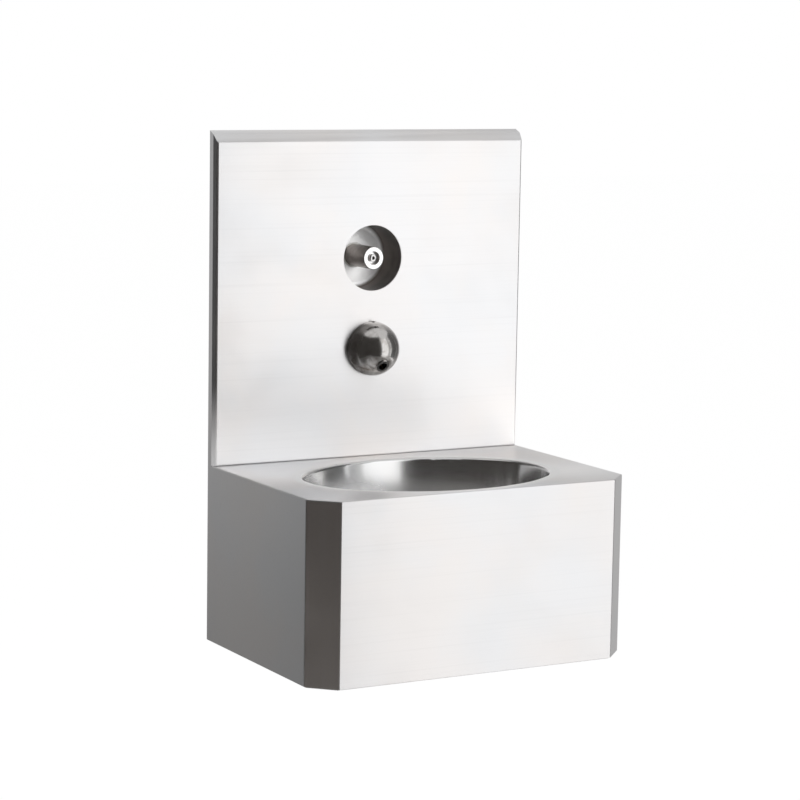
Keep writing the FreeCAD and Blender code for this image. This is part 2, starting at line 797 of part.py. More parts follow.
def waste_pieces():
    """Flanged waste, its grid, screw, seal, washer and back nut, all round one upright axis."""
    seal_top = seat_floor + d.waste_seal_height
    flange_top = seal_top + d.waste_flange_height
    rim_top = flange_top + d.waste_rim_height
    bore = d.waste_bore_radius
    tail = d.waste_tail_radius
    groove_low = d.waste_tail_end + d.waste_spigot_length
    groove_high = groove_low + d.waste_groove_length
    groove = tail - d.waste_groove_depth
    body = turned(
        "waste_body",
        [
            (bore, d.waste_tail_end),
            (tail, d.waste_tail_end),
            (tail, groove_low),
            (groove, groove_low),
            (groove, groove_high),
            (tail, groove_high),
            (tail, seal_top),
            (d.waste_flange_radius, seal_top),
            (d.waste_flange_radius, rim_top),
            (d.grid_radius, rim_top),
            (d.grid_radius, flange_top),
            (bore, flange_top),
        ],
        along_y=False,
        y=bowl_y,
    )
    bar_top = flange_top - d.waste_bar_drop
    bar = sketch_on(body, "XY_Plane", bar_top)
    half = d.waste_bar_width / 2
    reach = (bore + tail) / 2
    closed_line(bar, box_outline(-reach, reach, -half, half))
    pad(body, bar, d.waste_bar_height, back=True)
    tap = sketch_on(body, "XY_Plane", bar_top)
    circle(tap, d.waste_screw_radius + d.running_clearance)
    pocket(body, tap, d.waste_bar_height)

    grid = piece("waste_grid", y=bowl_y)
    plate = sketch_on(grid, "XY_Plane", flange_top)
    circle(plate, d.grid_radius - d.running_clearance)
    pad(grid, plate, d.waste_rim_height)
    centre = sketch_on(grid, "XY_Plane", rim_top)
    circle(centre, d.waste_screw_radius + d.running_clearance)
    pocket(grid, centre, d.waste_rim_height)
    for pitch, count in ((d.grid_inner_pitch_radius, 6), (d.grid_outer_pitch_radius, 12)):
        hole = sketch_on(grid, "XY_Plane", rim_top)
        circle(hole, d.grid_hole_radius, pitch)
        first = pocket(grid, hole, d.waste_rim_height)
        ring = grid.newObject("PartDesign::PolarPattern", "waste_grid_ring")
        ring.Originals = [first]
        ring.Axis = (plane_of(grid, "Z_Axis"), [""])
        ring.Angle = 360
        ring.Occurrences = count
        finished(grid, ring, -1)

    head = d.waste_screw_head_height
    shank_low = bar_top - d.waste_bar_height
    turned(
        "waste_screw",
        [
            (0, shank_low),
            (d.waste_screw_radius, shank_low),
            (d.waste_screw_radius, rim_top),
            (d.waste_screw_head_radius, rim_top),
            (d.waste_screw_head_radius, rim_top + head / 2),
            (d.waste_screw_head_radius - head / 2, rim_top + head),
            (0, rim_top + head),
        ],
        along_y=False,
        y=bowl_y,
    )
    washer_hole = tail + d.running_clearance
    washer_low = seat_under - d.waste_washer_height
    sleeve("waste_seal", d.waste_tail_radius + d.waste_hole_clearance, d.waste_flange_radius,
           seat_floor, seal_top, along_y=False, y=bowl_y)
    sleeve("waste_washer", washer_hole, d.waste_washer_radius, washer_low, seat_under,
           along_y=False, y=bowl_y)
    hex_nut("waste_back_nut", d.waste_nut_flats, d.waste_nut_height, washer_hole,
            washer_low - d.waste_nut_height, along_y=False, y=bowl_y)


def sleeve(label, bore, outer, start, end, along_y=True, x=0, y=0, z=0, turn=None):
    profile = [(bore, start), (outer, start), (outer, end), (bore, end)]
    return turned(label, profile, along_y, x, y, z, turn)


# ---------------------------------------------------------------- underside


def underside_screw_places():
    """Three screws up each side flange and the front flange of the casing."""
    edge = side - d.sheet_gauge - d.base_flange / 2
    front = -(d.unit_depth - d.sheet_gauge - d.base_flange / 2)
    places = []
    for sign in (-1, 1):
        places.append((edge * sign, -d.underside_screw_rear_y))
        places.append((edge * sign, -d.underside_screw_front_y))
        places.append((d.underside_screw_front_x * sign, front))
    return places


def underside_panel():
    """The removable plate under the unit, open round the waste for a trap."""
    body = piece("underside_panel")
    outline = sketch_on(body, "XY_Plane")
    closed_line(outline, plan_outline(d.underside_inset, -d.underside_inset))
    pad(body, outline, d.sheet_gauge, back=True)
    trap = sketch_on(body, "XY_Plane")
    circle(trap, d.trap_opening_radius, 0, bowl_y)
    pocket(body, trap, d.sheet_gauge)
    seats = sketch_on(body, "XY_Plane", -d.sheet_gauge)
    for x, y in underside_screw_places():
        circle(seats, d.underside_screw_head_radius, x, y)
    pocket(body, seats, d.sheet_gauge, back=True, taper=-countersink_angle())


def countersink_angle():
    """Slope of a countersunk head that is as deep as the plate, in degrees from its axis."""
    fall = d.underside_screw_head_radius - d.underside_screw_radius
    return Size(f"atan2({fall.text}; Sizes.sheet_gauge)",
                math.degrees(math.atan2(float(fall), float(d.sheet_gauge))))


def underside_screws():
    """Six countersunk screws, each in a hole of the casing's lower flange."""
    body = piece("underside_screws")
    body.AllowCompound = True
    heads = sketch_on(body, "XY_Plane", -d.sheet_gauge)
    shanks = sketch_on(body, "XY_Plane")
    for x, y in underside_screw_places():
        circle(heads, d.underside_screw_head_radius, x, y)
        circle(shanks, d.underside_screw_radius, x, y)
    pad(body, heads, d.sheet_gauge, taper=-countersink_angle())
    pad(body, shanks, d.underside_screw_length)


# ---------------------------------------------------------------- recess and push button

cup_back = panel_face + d.recess_depth
cup_rear = cup_back + d.sheet_gauge
valve_face = cup_rear + d.gasket_gauge
bush_bore = d.button_radius + d.running_clearance
bush_outer = bush_bore + d.bush_wall
button_front = panel_face - d.button_proud
well_floor = button_front + d.button_well_depth
collar_front = valve_face + d.stop_gap
collar_rear = collar_front + d.stem_collar_height
stem_front = collar_front - d.stem_nose
screw_hole = d.button_screw_radius + d.running_clearance

chamber_end = valve_face + d.spring_chamber_length
gland_end = chamber_end + d.gland_length
outlet_end = gland_end + d.outlet_chamber_length
seat_end = outlet_end + d.seat_length
piston_front = seat_end + d.stop_gap
piston_rear = piston_front + d.piston_height
stem_end = piston_rear + d.piston_nut_height + d.stop_gap
plug_front = stem_end + d.button_travel + d.piston_end_gap
body_end = plug_front + d.union_plug_length
outlet_y = (gland_end + outlet_end) / 2
boss_end = d.button_height - d.outlet_boss_drop


def recess_cup():
    """The deep round cup that the button stands in, open to the front through the panel."""
    inner = d.recess_radius
    outer = inner + d.sheet_gauge
    hole = bush_outer + d.bush_hole_clearance
    body = turned(
        "recess_cup",
        [
            (inner, panel_back),
            (d.recess_flange_radius, panel_back),
            (d.recess_flange_radius, panel_back + d.sheet_gauge),
            (outer, panel_back + d.sheet_gauge),
            (outer, cup_rear),
            (hole, cup_rear),
            (hole, cup_back),
            (inner, cup_back),
        ],
        z=d.button_height,
    )
    soften(body, d.recess_corner_radius, ring_edge(inner, cup_back))
    soften(body, d.recess_corner_radius + d.sheet_gauge, ring_edge(outer, cup_rear))


def guide_bush():
    """A flanged sleeve that the button slides in, held between the cup and the valve."""
    turned(
        "guide_bush",
        [
            (bush_bore, cup_back),
            (bush_outer, cup_back),
            (bush_outer, cup_rear),
            (d.bush_flange_radius, cup_rear),
            (d.bush_flange_radius, valve_face),
            (bush_bore, valve_face),
        ],
        z=d.button_height,
    )


def push_button():
    """The long round button, with a well in its face for the fixing screw."""
    stem_bore = d.stem_radius + d.running_clearance
    body = turned(
        "push_button",
        [
            (d.button_well_radius, button_front),
            (d.button_radius, button_front),
            (d.button_radius, collar_front),
            (stem_bore, collar_front),
            (stem_bore, stem_front),
            (screw_hole, stem_front),
            (screw_hole, well_floor),
            (d.button_well_radius, well_floor),
        ],
        z=d.button_height,
    )
    soften(body, d.button_edge_radius, ring_edge(d.button_radius, button_front))


def button_screw():
    """Socket head screw that holds the button on the valve stem."""
    head_front = well_floor - d.button_screw_head_height
    tip = well_floor + d.button_screw_length
    body = turned(
        "button_screw",
        [
            (0, head_front),
            (d.button_screw_head_radius, head_front),
            (d.button_screw_head_radius, well_floor),
            (d.button_screw_radius, well_floor),
            (d.button_screw_radius, tip),
            (0, tip),
        ],
        z=d.button_height,
    )
    socket = sketch_on(body, "XY_Plane", head_front)
    hexagon(socket, d.button_screw_socket)
    pocket(body, socket, d.button_screw_socket_depth, back=True)


def valve_stem():
    """Stem that joins the button to the piston, with the collar that stops it and bears the spring."""
    tail_start = outlet_end - d.stop_gap
    bore_end = well_floor + d.button_screw_length + d.stop_gap
    turned(
        "valve_stem",
        [
            (screw_hole, stem_front),
            (d.stem_radius, stem_front),
            (d.stem_radius, collar_front),
            (d.stem_collar_radius, collar_front),
            (d.stem_collar_radius, collar_rear),
            (d.stem_radius, collar_rear),
            (d.stem_radius, tail_start),
            (d.stem_tail_radius, tail_start),
            (d.stem_tail_radius, stem_end),
            (0, stem_end),
            (0, bore_end),
            (screw_hole, bore_end),
        ],
        z=d.button_height,
    )


def piston():
    """Rubber disc on the stem's tail that shuts the seat, and the nut that holds it."""
    tail_hole = d.stem_tail_radius + d.running_clearance
    sleeve("piston_seal", tail_hole, d.piston_radius, piston_front, piston_rear, z=d.button_height)
    hex_nut("piston_nut", d.piston_nut_flats, d.piston_nut_height, tail_hole, piston_rear,
            z=d.button_height)


def return_spring():
    """Compression spring round the stem, between the collar and the gland."""
    body = piece("return_spring", along_y=True, z=d.button_height)
    wire = sketch_on(body, "XZ_Plane")
    circle(wire, d.spring_wire_radius, d.spring_coil_radius, collar_rear + d.spring_wire_radius)
    coil = body.newObject("PartDesign::AdditiveHelix", "return_spring_coil")
    coil.Profile = wire
    coil.ReferenceAxis = (wire, ["V_Axis"])
    coil.Mode = "height-turns-angle"
    bind(coil, "Height", chamber_end - collar_rear - d.spring_wire_radius * 2)
    bind(coil, "Turns", d.spring_turns)
    finished(body, coil, 1)


# ---------------------------------------------------------------- valve


def stud_places():
    """Four places round the valve's axis, a quarter turn apart."""
    step = d.stud_pitch_radius / ROOT_TWO
    return [(x, y) for x in (-step, step) for y in (-step, step)]


def valve_body():
    """Brass body: spring chamber, stem gland, outlet chamber, seat and inlet chamber in line."""
    stem_hole = d.stem_radius + d.running_clearance
    groove_start = (chamber_end + gland_end) / 2 - d.gland_groove_length / 2
    groove_end = groove_start + d.gland_groove_length
    flange_rear = valve_face + d.valve_flange_height
    body = turned(
        "valve_body",
        [
            (d.spring_chamber_radius, valve_face),
            (d.spring_chamber_radius, chamber_end),
            (stem_hole, chamber_end),
            (stem_hole, groove_start),
            (d.gland_groove_radius, groove_start),
            (d.gland_groove_radius, groove_end),
            (stem_hole, groove_end),
            (stem_hole, gland_end),
            (d.outlet_chamber_radius, gland_end),
            (d.outlet_chamber_radius, outlet_end),
            (d.seat_radius, outlet_end),
            (d.seat_radius, seat_end),
            (d.inlet_chamber_radius, seat_end),
            (d.inlet_chamber_radius, body_end),
            (d.valve_body_radius, body_end),
            (d.valve_body_radius, flange_rear),
            (d.valve_flange_radius, flange_rear),
            (d.valve_flange_radius, valve_face),
        ],
        z=d.button_height,
    )
    wall_middle = (d.outlet_chamber_radius + d.valve_body_radius) / 2
    boss = sketch_on(body, "XZ_Plane", -wall_middle)
    circle(boss, d.outlet_boss_radius, 0, outlet_y)
    pad(body, boss, d.outlet_boss_drop - wall_middle, back=True)
    bore = sketch_on(body, "XZ_Plane")
    circle(bore, d.outlet_bore_radius, 0, outlet_y)
    pocket(body, bore, d.outlet_boss_drop)
    holes = sketch_on(body, "XY_Plane", flange_rear)
    for x, y in stud_places():
        circle(holes, d.stud_hole_radius, x, y)
    pocket(body, holes, d.valve_flange_height)


def valve_fixings():
    """Gasket, the studs welded to the back of the cup, and their nuts."""
    body = sleeve("valve_gasket", d.bush_flange_radius + d.stop_gap, d.valve_flange_radius,
                  cup_rear, valve_face, z=d.button_height)
    holes = sketch_on(body, "XY_Plane", valve_face)
    for x, y in stud_places():
        circle(holes, d.stud_hole_radius, x, y)
    pocket(body, holes, d.gasket_gauge)

    studs = piece("valve_studs", along_y=True, z=d.button_height)
    studs.AllowCompound = True
    ends = sketch_on(studs, "XY_Plane", cup_rear)
    for x, y in stud_places():
        circle(ends, d.stud_radius, x, y)
    pad(studs, ends, d.stud_length)

    nuts = piece("valve_stud_nuts", along_y=True, z=d.button_height)
    nuts.AllowCompound = True
    nut_start = valve_face + d.valve_flange_height
    flats = sketch_on(nuts, "XY_Plane", nut_start)
    bores = sketch_on(nuts, "XY_Plane", nut_start + d.stud_nut_height)
    for x, y in stud_places():
        hexagon(flats, d.stud_nut_flats, x, y)
        circle(bores, d.stud_radius + d.running_clearance, x, y)
    pad(nuts, flats, d.stud_nut_height)
    pocket(nuts, bores, d.stud_nut_height)


def stem_seal():
    """O-ring in the gland's groove."""
    body = piece("stem_seal", along_y=True, z=d.button_height)
    ring = body.newObject("PartDesign::AdditiveTorus", "stem_seal_ring")
    bind(ring, "Radius1", d.stem_radius + d.stem_seal_radius + d.running_clearance * 2)
    bind(ring, "Radius2", d.stem_seal_radius)
    move_along(ring, (chamber_end + gland_end) / 2)
    finished(body, ring, 1)


def move_along(feature, distance, degrees=0):
    """Puts a primitive at a distance along the body's axis, tipped about the X axis."""
    base = FreeCAD.Vector(0, 0, float(distance))
    feature.Placement = FreeCAD.Placement(base, FreeCAD.Rotation(ACROSS, float(degrees)))
    feature.setExpression("Placement.Base.z", distance.text)
    if isinstance(degrees, Size):
        feature.setExpression("Placement.Rotation.Angle", degrees.text)


def inlet_union():
    """Hexagon plug that closes the valve's rear and takes the supply on its thread."""
    hex_start = body_end + d.union_washer_gauge
    hex_end = hex_start + d.union_hex_length
    thread_end = hex_end + d.union_thread_length
    plug = d.inlet_chamber_radius - d.running_clearance
    body = turned(
        "inlet_union",
        [
            (d.union_bore_radius, plug_front),
            (plug, plug_front),
            (plug, hex_end),
            (d.union_thread_radius, hex_end),
            (d.union_thread_radius, thread_end),
            (d.union_bore_radius, thread_end),
        ],
        z=d.button_height,
    )
    flats = sketch_on(body, "XY_Plane", hex_start)
    hexagon(flats, d.union_hex_flats)
    circle(flats, (d.union_bore_radius + plug) / 2)
    pad(body, flats, d.union_hex_length)
    turn_off_corners(body, d.union_hex_flats, hex_end)
    sleeve("union_washer", d.inlet_chamber_radius, d.union_hex_flats / 2, body_end, hex_start,
           z=d.button_height)


# ---------------------------------------------------------------- spout

dome_base = panel_face - d.spout_gasket_gauge
dome_centre = dome_base - d.spout_skirt
nozzle_seat = d.spout_radius - d.nozzle_lip_height + d.nozzle_lip_proud
nozzle_hole = d.nozzle_radius + d.nozzle_clearance
shank_fit = d.shank_radius + d.running_clearance


def spout_dome():
    """Solid half-round spout on a short skirt, drilled from behind and out through its lower front."""
    body = piece("spout_dome", along_y=True, z=spout_height)
    skirt = body.newObject("PartDesign::AdditiveCylinder", "spout_dome_skirt")
    bind(skirt, "Radius", d.spout_radius)
    bind(skirt, "Height", d.spout_skirt)
    move_along(skirt, dome_centre)
    finished(body, skirt, 1)
    ball = body.newObject("PartDesign::AdditiveSphere", "spout_dome_ball")
    bind(ball, "Radius", d.spout_radius)
    ball.Angle1 = -90
    ball.Angle2 = 0
    move_along(ball, dome_centre)
    finished(body, ball, 1)
    for radius, depth in ((shank_fit, d.spout_socket_depth), (d.spout_bore_radius, d.spout_bore_depth)):
        bore = sketch_on(body, "XY_Plane", dome_base)
        circle(bore, radius)
        pocket(body, bore, depth)
    outward = 180 + d.outlet_tilt
    drilled(body, d.nozzle_bore_radius, 0, d.spout_radius * 2, outward)
    drilled(body, nozzle_hole, nozzle_seat - nozzle_barrel(), d.spout_radius, outward)
    drilled(body, d.nozzle_lip_radius + d.nozzle_clearance, nozzle_seat, d.spout_radius, outward)
    tapped = body.newObject("PartDesign::SubtractiveCylinder", "spout_dome_tapping")
    bind(tapped, "Radius", d.grub_screw_radius + d.running_clearance)
    bind(tapped, "Height", d.spout_radius * 2)
    tapped.Placement = FreeCAD.Placement(
        FreeCAD.Vector(0, -float(grub_low()), float(grub_place())), FreeCAD.Rotation(ACROSS, 90)
    )
    tapped.setExpression("Placement.Base.y", (-grub_low()).text)
    tapped.setExpression("Placement.Base.z", grub_place().text)
    finished(body, tapped, -1)


def nozzle_barrel():
    """Length of the nozzle behind its lip."""
    return d.nozzle_length - d.nozzle_lip_height


def grub_place():
    return dome_centre - d.grub_screw_radius


def grub_low():
    """Height of the grub screw's tip over the spout's axis."""
    return d.spout_radius + d.grub_screw_proud - d.grub_screw_length


def drilled(body, radius, start, length, degrees):
    """A straight hole from the dome's centre outwards, beginning at a distance from it."""
    hole = body.newObject("PartDesign::SubtractiveCylinder", "spout_dome_hole")
    bind(hole, "Radius", radius)
    bind(hole, "Height", length)
    tilt = math.radians(float(d.outlet_tilt))
    tilt_text = f"{d.outlet_tilt.text} * 1 deg"
    sideways = start * Size(f"sin({tilt_text})", math.sin(tilt))
    forwards = start * Size(f"cos({tilt_text})", math.cos(tilt))
    base = FreeCAD.Vector(0, float(sideways), float(dome_centre - forwards))
    hole.Placement = FreeCAD.Placement(base, FreeCAD.Rotation(ACROSS, float(degrees)))
    hole.setExpression("Placement.Base.y", sideways.text)
    hole.setExpression("Placement.Base.z", (dome_centre - forwards).text)
    hole.setExpression("Placement.Rotation.Angle", degrees.text)
    finished(body, hole, -1)


def outlet_nozzle():
    """Flow insert pressed into the dome, with a rounded lip round the outlet."""
    lip_top = nozzle_seat + d.nozzle_lip_height
    turned(
        "outlet_nozzle",
        [
            (d.nozzle_bore_radius, nozzle_seat - nozzle_barrel()),
            (d.nozzle_radius, nozzle_seat - nozzle_barrel()),
            (d.nozzle_radius, nozzle_seat),
            (d.nozzle_lip_radius, nozzle_seat),
            (d.nozzle_lip_radius, lip_top - d.nozzle_lip_chamfer),
            (d.nozzle_lip_radius - d.nozzle_lip_chamfer, lip_top),
            (d.nozzle_bore_radius, lip_top),
        ],
        y=dome_centre,
        z=spout_height,
        turn=90 + d.outlet_tilt,
    )


def spout_fixings():
    """Gasket, threaded shank, washer and back nut that hold the spout, and its grub screw."""
    sleeve("spout_gasket", shank_fit, d.spout_radius - d.spout_gasket_gauge, dome_base, panel_face,
           z=spout_height)
    sleeve("spout_shank", d.shank_bore_radius, d.shank_radius, dome_base - d.spout_socket_depth,
           d.shank_end, z=spout_height)
    washer_rear = panel_back + d.shank_washer_gauge
    sleeve("spout_washer", shank_fit, d.shank_washer_radius, panel_back, washer_rear,
           z=spout_height)
    hex_nut("spout_back_nut", d.shank_nut_flats, d.shank_nut_height, shank_fit, washer_rear,
            z=spout_height)
    top = grub_low() + d.grub_screw_length
    turned(
        "spout_grub_screw",
        [
            (0, grub_low()),
            (d.grub_screw_radius, grub_low()),
            (d.grub_screw_radius, top),
            (0, top),
        ],
        along_y=False,
        y=grub_place(),
        z=spout_height,
    )


# ---------------------------------------------------------------- supply pipe


def supply_pipe():
    """Copper pipe from the valve's outlet down and forward to the spout's shank."""
    body = piece("supply_pipe")
    bend_top = spout_height + d.pipe_bend_radius
    bend_rear = outlet_y - d.pipe_bend_radius
    path = sketch_on(body, "YZ_Plane")
    down = (outlet_y, boss_end), (outlet_y, bend_top)
    forward = (bend_rear, spout_height), (d.shank_end, spout_height)
    for start, end in (down, forward):
        a, b = (FreeCAD.Vector(float(y), float(z), 0) for y, z in (start, end))
        line = path.addGeometry(Part.LineSegment(a, b))
        for point, (y, z) in ((1, start), (2, end)):
            hold(path, "DistanceX", line, point, y)
            hold(path, "DistanceY", line, point, z)
    ring = Part.Circle(FreeCAD.Vector(float(bend_rear), float(bend_top), 0), UP, float(d.pipe_bend_radius))
    bend = path.addGeometry(Part.ArcOfCircle(ring, -math.pi / 2, 0))
    path.addConstraint(Sketcher.Constraint("Coincident", bend, 2, 0, 2))
    path.addConstraint(Sketcher.Constraint("Coincident", bend, 1, 1, 1))
    hold(path, "DistanceX", bend, 3, bend_rear)
    section = sketch_on(body, "XY_Plane", boss_end)
    circle(section, d.pipe_radius, 0, outlet_y)
    circle(section, d.pipe_radius - d.pipe_gauge, 0, outlet_y)
    pipe = body.newObject("PartDesign::AdditivePipe", "supply_pipe_run")
    pipe.Profile = section
    pipe.Spine = (path, [""])
    finished(body, pipe, 1)


def pipe_joints():
    """A nut and an olive at each end of the pipe."""
    pipe_hole = d.pipe_radius + d.pipe_nut_clearance
    olive_outer = d.outlet_boss_radius - d.pipe_nut_clearance
    past = d.pipe_nut_height - d.pipe_nut_grip
    nut = hex_nut("valve_pipe_nut", d.pipe_nut_flats, d.pipe_nut_height, pipe_hole,
                  boss_end - past, along_y=False, y=outlet_y)
    grip = sketch_on(nut, "XY_Plane", boss_end + d.pipe_nut_grip)
    circle(grip, d.outlet_boss_radius + d.pipe_nut_clearance)
    pocket(nut, grip, d.pipe_nut_grip + d.olive_length)
    sleeve("valve_olive", d.pipe_radius + d.running_clearance, olive_outer, boss_end - d.olive_length,
           boss_end, along_y=False, y=outlet_y)
    nut = hex_nut("spout_pipe_nut", d.pipe_nut_flats, d.pipe_nut_height, pipe_hole,
                  d.shank_end - d.pipe_nut_grip, z=spout_height)
    grip = sketch_on(nut, "XY_Plane", d.shank_end - d.pipe_nut_grip)
    circle(grip, d.shank_radius + d.pipe_nut_clearance)
    pocket(nut, grip, d.pipe_nut_grip + d.olive_length, back=True)
    sleeve("spout_olive", d.pipe_radius + d.running_clearance, olive_outer, d.shank_end,
           d.shank_end + d.olive_length, z=spout_height)


# ---------------------------------------------------------------- the whole unit

BUILDERS = [
    casing_wrap,
    wall_weld_nuts,
    top_rail,
    rear_sill,
    splashback_tray,
    basin_deck,
    basin_bowl,
    waste_pieces,
    underside_panel,
    underside_screws,
    recess_cup,
    guide_bush,
    push_button,
    button_screw,
    valve_stem,
    piston,
    return_spring,
    valve_body,
    valve_fixings,
    stem_seal,
    inlet_union,
    spout_dome,
    outlet_nozzle,
    spout_fixings,
    supply_pipe,
    pipe_joints,
]
for build in BUILDERS:
    build()
doc.recompute()

for thing in doc.Objects:
    if "Invalid" in thing.State or "Error" in thing.State:
        raise RuntimeError(f"{thing.Name} is {thing.State}")
os.makedirs("parts", exist_ok=True)
for body in PIECES:
    shape = body.Shape
    if shape.isNull() or not shape.isValid() or not shape.Solids:
        raise RuntimeError(f"{body.Label} has no valid solid")
    shape.exportStep(f"parts/{body.Label}.step")
    print(f"{body.Label}: {len(shape.Solids)} solid, {shape.Volume:.1f} mm3")
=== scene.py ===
import math

import bpy
from mathutils import Matrix, Vector


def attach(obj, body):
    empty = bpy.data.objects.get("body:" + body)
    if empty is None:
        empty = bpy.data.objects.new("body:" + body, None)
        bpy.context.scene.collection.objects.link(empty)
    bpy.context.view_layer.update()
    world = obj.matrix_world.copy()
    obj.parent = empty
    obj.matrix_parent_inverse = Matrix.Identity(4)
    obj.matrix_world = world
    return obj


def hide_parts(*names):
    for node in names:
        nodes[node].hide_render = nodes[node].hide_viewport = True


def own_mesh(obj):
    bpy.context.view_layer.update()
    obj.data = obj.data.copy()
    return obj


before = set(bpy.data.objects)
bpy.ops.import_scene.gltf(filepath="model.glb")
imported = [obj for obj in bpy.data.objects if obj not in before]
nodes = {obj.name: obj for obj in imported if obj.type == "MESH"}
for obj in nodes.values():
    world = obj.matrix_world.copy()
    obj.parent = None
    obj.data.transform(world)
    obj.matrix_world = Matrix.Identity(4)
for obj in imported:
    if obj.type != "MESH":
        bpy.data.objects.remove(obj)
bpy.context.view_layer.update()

# ---------------------------------------------------------------- camera

TARGET = Vector((-0.0353, -0.150, 0.2877))
DISTANCE = 2.943
AZIMUTH = math.radians(-29.19)
ELEVATION = math.radians(7.98)
ROLL = math.radians(0.95)
LENS = 119.07
SENSOR = 36
SIGHT = 60


def place_camera():
    """Stands the camera where the photograph was taken from."""
    level = math.cos(ELEVATION)
    back = Vector((math.sin(AZIMUTH) * level, -math.cos(AZIMUTH) * level, math.sin(ELEVATION)))
    right = Vector((math.cos(AZIMUTH), math.sin(AZIMUTH), 0))
    up = back.cross(right)
    rolled_right = right * math.cos(ROLL) + up * math.sin(ROLL)
    rolled_up = up * math.cos(ROLL) - right * math.sin(ROLL)
    camera = bpy.data.objects.new("camera", bpy.data.cameras.new("camera"))
    camera.data.lens = LENS
    camera.data.sensor_width = SENSOR
    camera.data.clip_end = SIGHT
    turn = Matrix((rolled_right, rolled_up, back)).transposed().to_4x4()
    turn.translation = TARGET + back * DISTANCE
    camera.matrix_world = turn
    bpy.context.scene.collection.objects.link(camera)
    bpy.context.scene.camera = camera


place_camera()
bpy.context.scene.view_settings.view_transform = "Standard"

# ---------------------------------------------------------------- materials


class Number:
    """A number that changes over a surface. Sums and products of it add Math nodes."""

    def __init__(self, finish, socket):
        self.finish = finish
        self.socket = socket

    def maths(self, operation, *values, clip=False):
        settings = {"operation": operation, "use_clamp": clip}
        return Number(self.finish, self.finish.node("ShaderNodeMath", settings, dict(enumerate(values))))

    def __add__(self, other):
        return self.maths("ADD", self, other)

    def __mul__(self, other):
        return self.maths("MULTIPLY", self, other)

    def __sub__(self, other):
        return self.maths("SUBTRACT", self, other)

    def __rsub__(self, other):
        return self.maths("SUBTRACT", other, self)

    __radd__ = __add__
    __rmul__ = __mul__

    def size(self):
        return self.maths("ABSOLUTE", self)

    def clipped(self):
        return self.maths("ADD", self, 0, clip=True)

    def most(self, other):
        return self.maths("MAXIMUM", self, other)

    def eased(self, low, high):
        """Goes from 0 at low to 1 at high, smoothly."""
        settings = {"interpolation_type": "SMOOTHSTEP"}
        inputs = {"Value": self, "From Min": low, "From Max": high}
        return Number(self.finish, self.finish.node("ShaderNodeMapRange", settings, inputs))


class Finish:
    """One material. Its patterns read the piece's own coordinates, in metres."""

    def __init__(self, name, metallic=0, roughness=0.5):
        self.material = bpy.data.materials.new(name)
        self.material.use_nodes = True
        self.tree = self.material.node_tree
        self.shader = self.tree.nodes["Principled BSDF"]
        self.place = self.node("ShaderNodeTexCoord", output="Object")
        self.set("Metallic", metallic)
        self.set("Roughness", roughness)

    def node(self, kind, settings=None, inputs=None, output=0):
        """Adds one node, sets it, feeds its sockets and gives back one output."""
        made = self.tree.nodes.new(kind)
        for name, value in (settings or {}).items():
            setattr(made, name, value)
        for name, value in (inputs or {}).items():
            self.feed(made.inputs[name], value)
        return made.outputs[output]

    def feed(self, socket, value):
        if isinstance(value, Number):
            value = value.socket
        if isinstance(value, bpy.types.NodeSocket):
            self.tree.links.new(value, socket)
        elif socket.type == "RGBA" and len(value) == 3:
            socket.default_value = (*value, 1)
        else:
            socket.default_value = value

    def set(self, socket, value):
        self.feed(self.shader.inputs[socket], value)

    def noise(self, x, y=None, z=None, detail=2, roughness=0.5, distortion=0):
        """Cloudy pattern with that many blobs to the metre along each axis."""
        scale = (x, x if y is None else y, x if z is None else z)
        place = self.node("ShaderNodeMapping", None, {"Vector": self.place, "Scale": scale})
        look = {"Detail": detail, "Roughness": roughness, "Distortion": distortion}
        inputs = {"Vector": place, "Scale": 1, **look}
        return Number(self, self.node("ShaderNodeTexNoise", None, inputs))

    def along(self, axis):
        """One coordinate of the place, in metres."""
        return Number(self, self.node("ShaderNodeSeparateXYZ", None, {0: self.place}, output=axis))

    def facing(self, axis):
        """One coordinate of the surface's own direction."""
        normal = self.node("ShaderNodeTexCoord", output="Normal")
        return Number(self, self.node("ShaderNodeSeparateXYZ", None, {0: normal}, output=axis))

    def mix(self, share, first, second, way="MIX"):
        settings = {"data_type": "RGBA", "blend_type": way}
        inputs = {0: share, 6: first, 7: second}
        return self.node("ShaderNodeMix", settings, inputs, output=2)

    def bump(self, height, depth, after=None):
        """Raises the surface by height (0 to 1) times depth in metres."""
        inputs = {"Height": height, "Distance": depth, "Strength": 1}
        if after is not None:
            inputs["Normal"] = after
        return self.node("ShaderNodeBump", None, inputs)


WARM_STEEL = (0.81, 0.785, 0.772)
COOL_STEEL = (0.785, 0.787, 0.797)
CHAMFER_PAINTED_SHADE = (0.62, 0.575, 0.55)
BRUSH_DEPTH = 0.000007


def toned(colour, tone):
    return tuple(part * tone for part in colour)


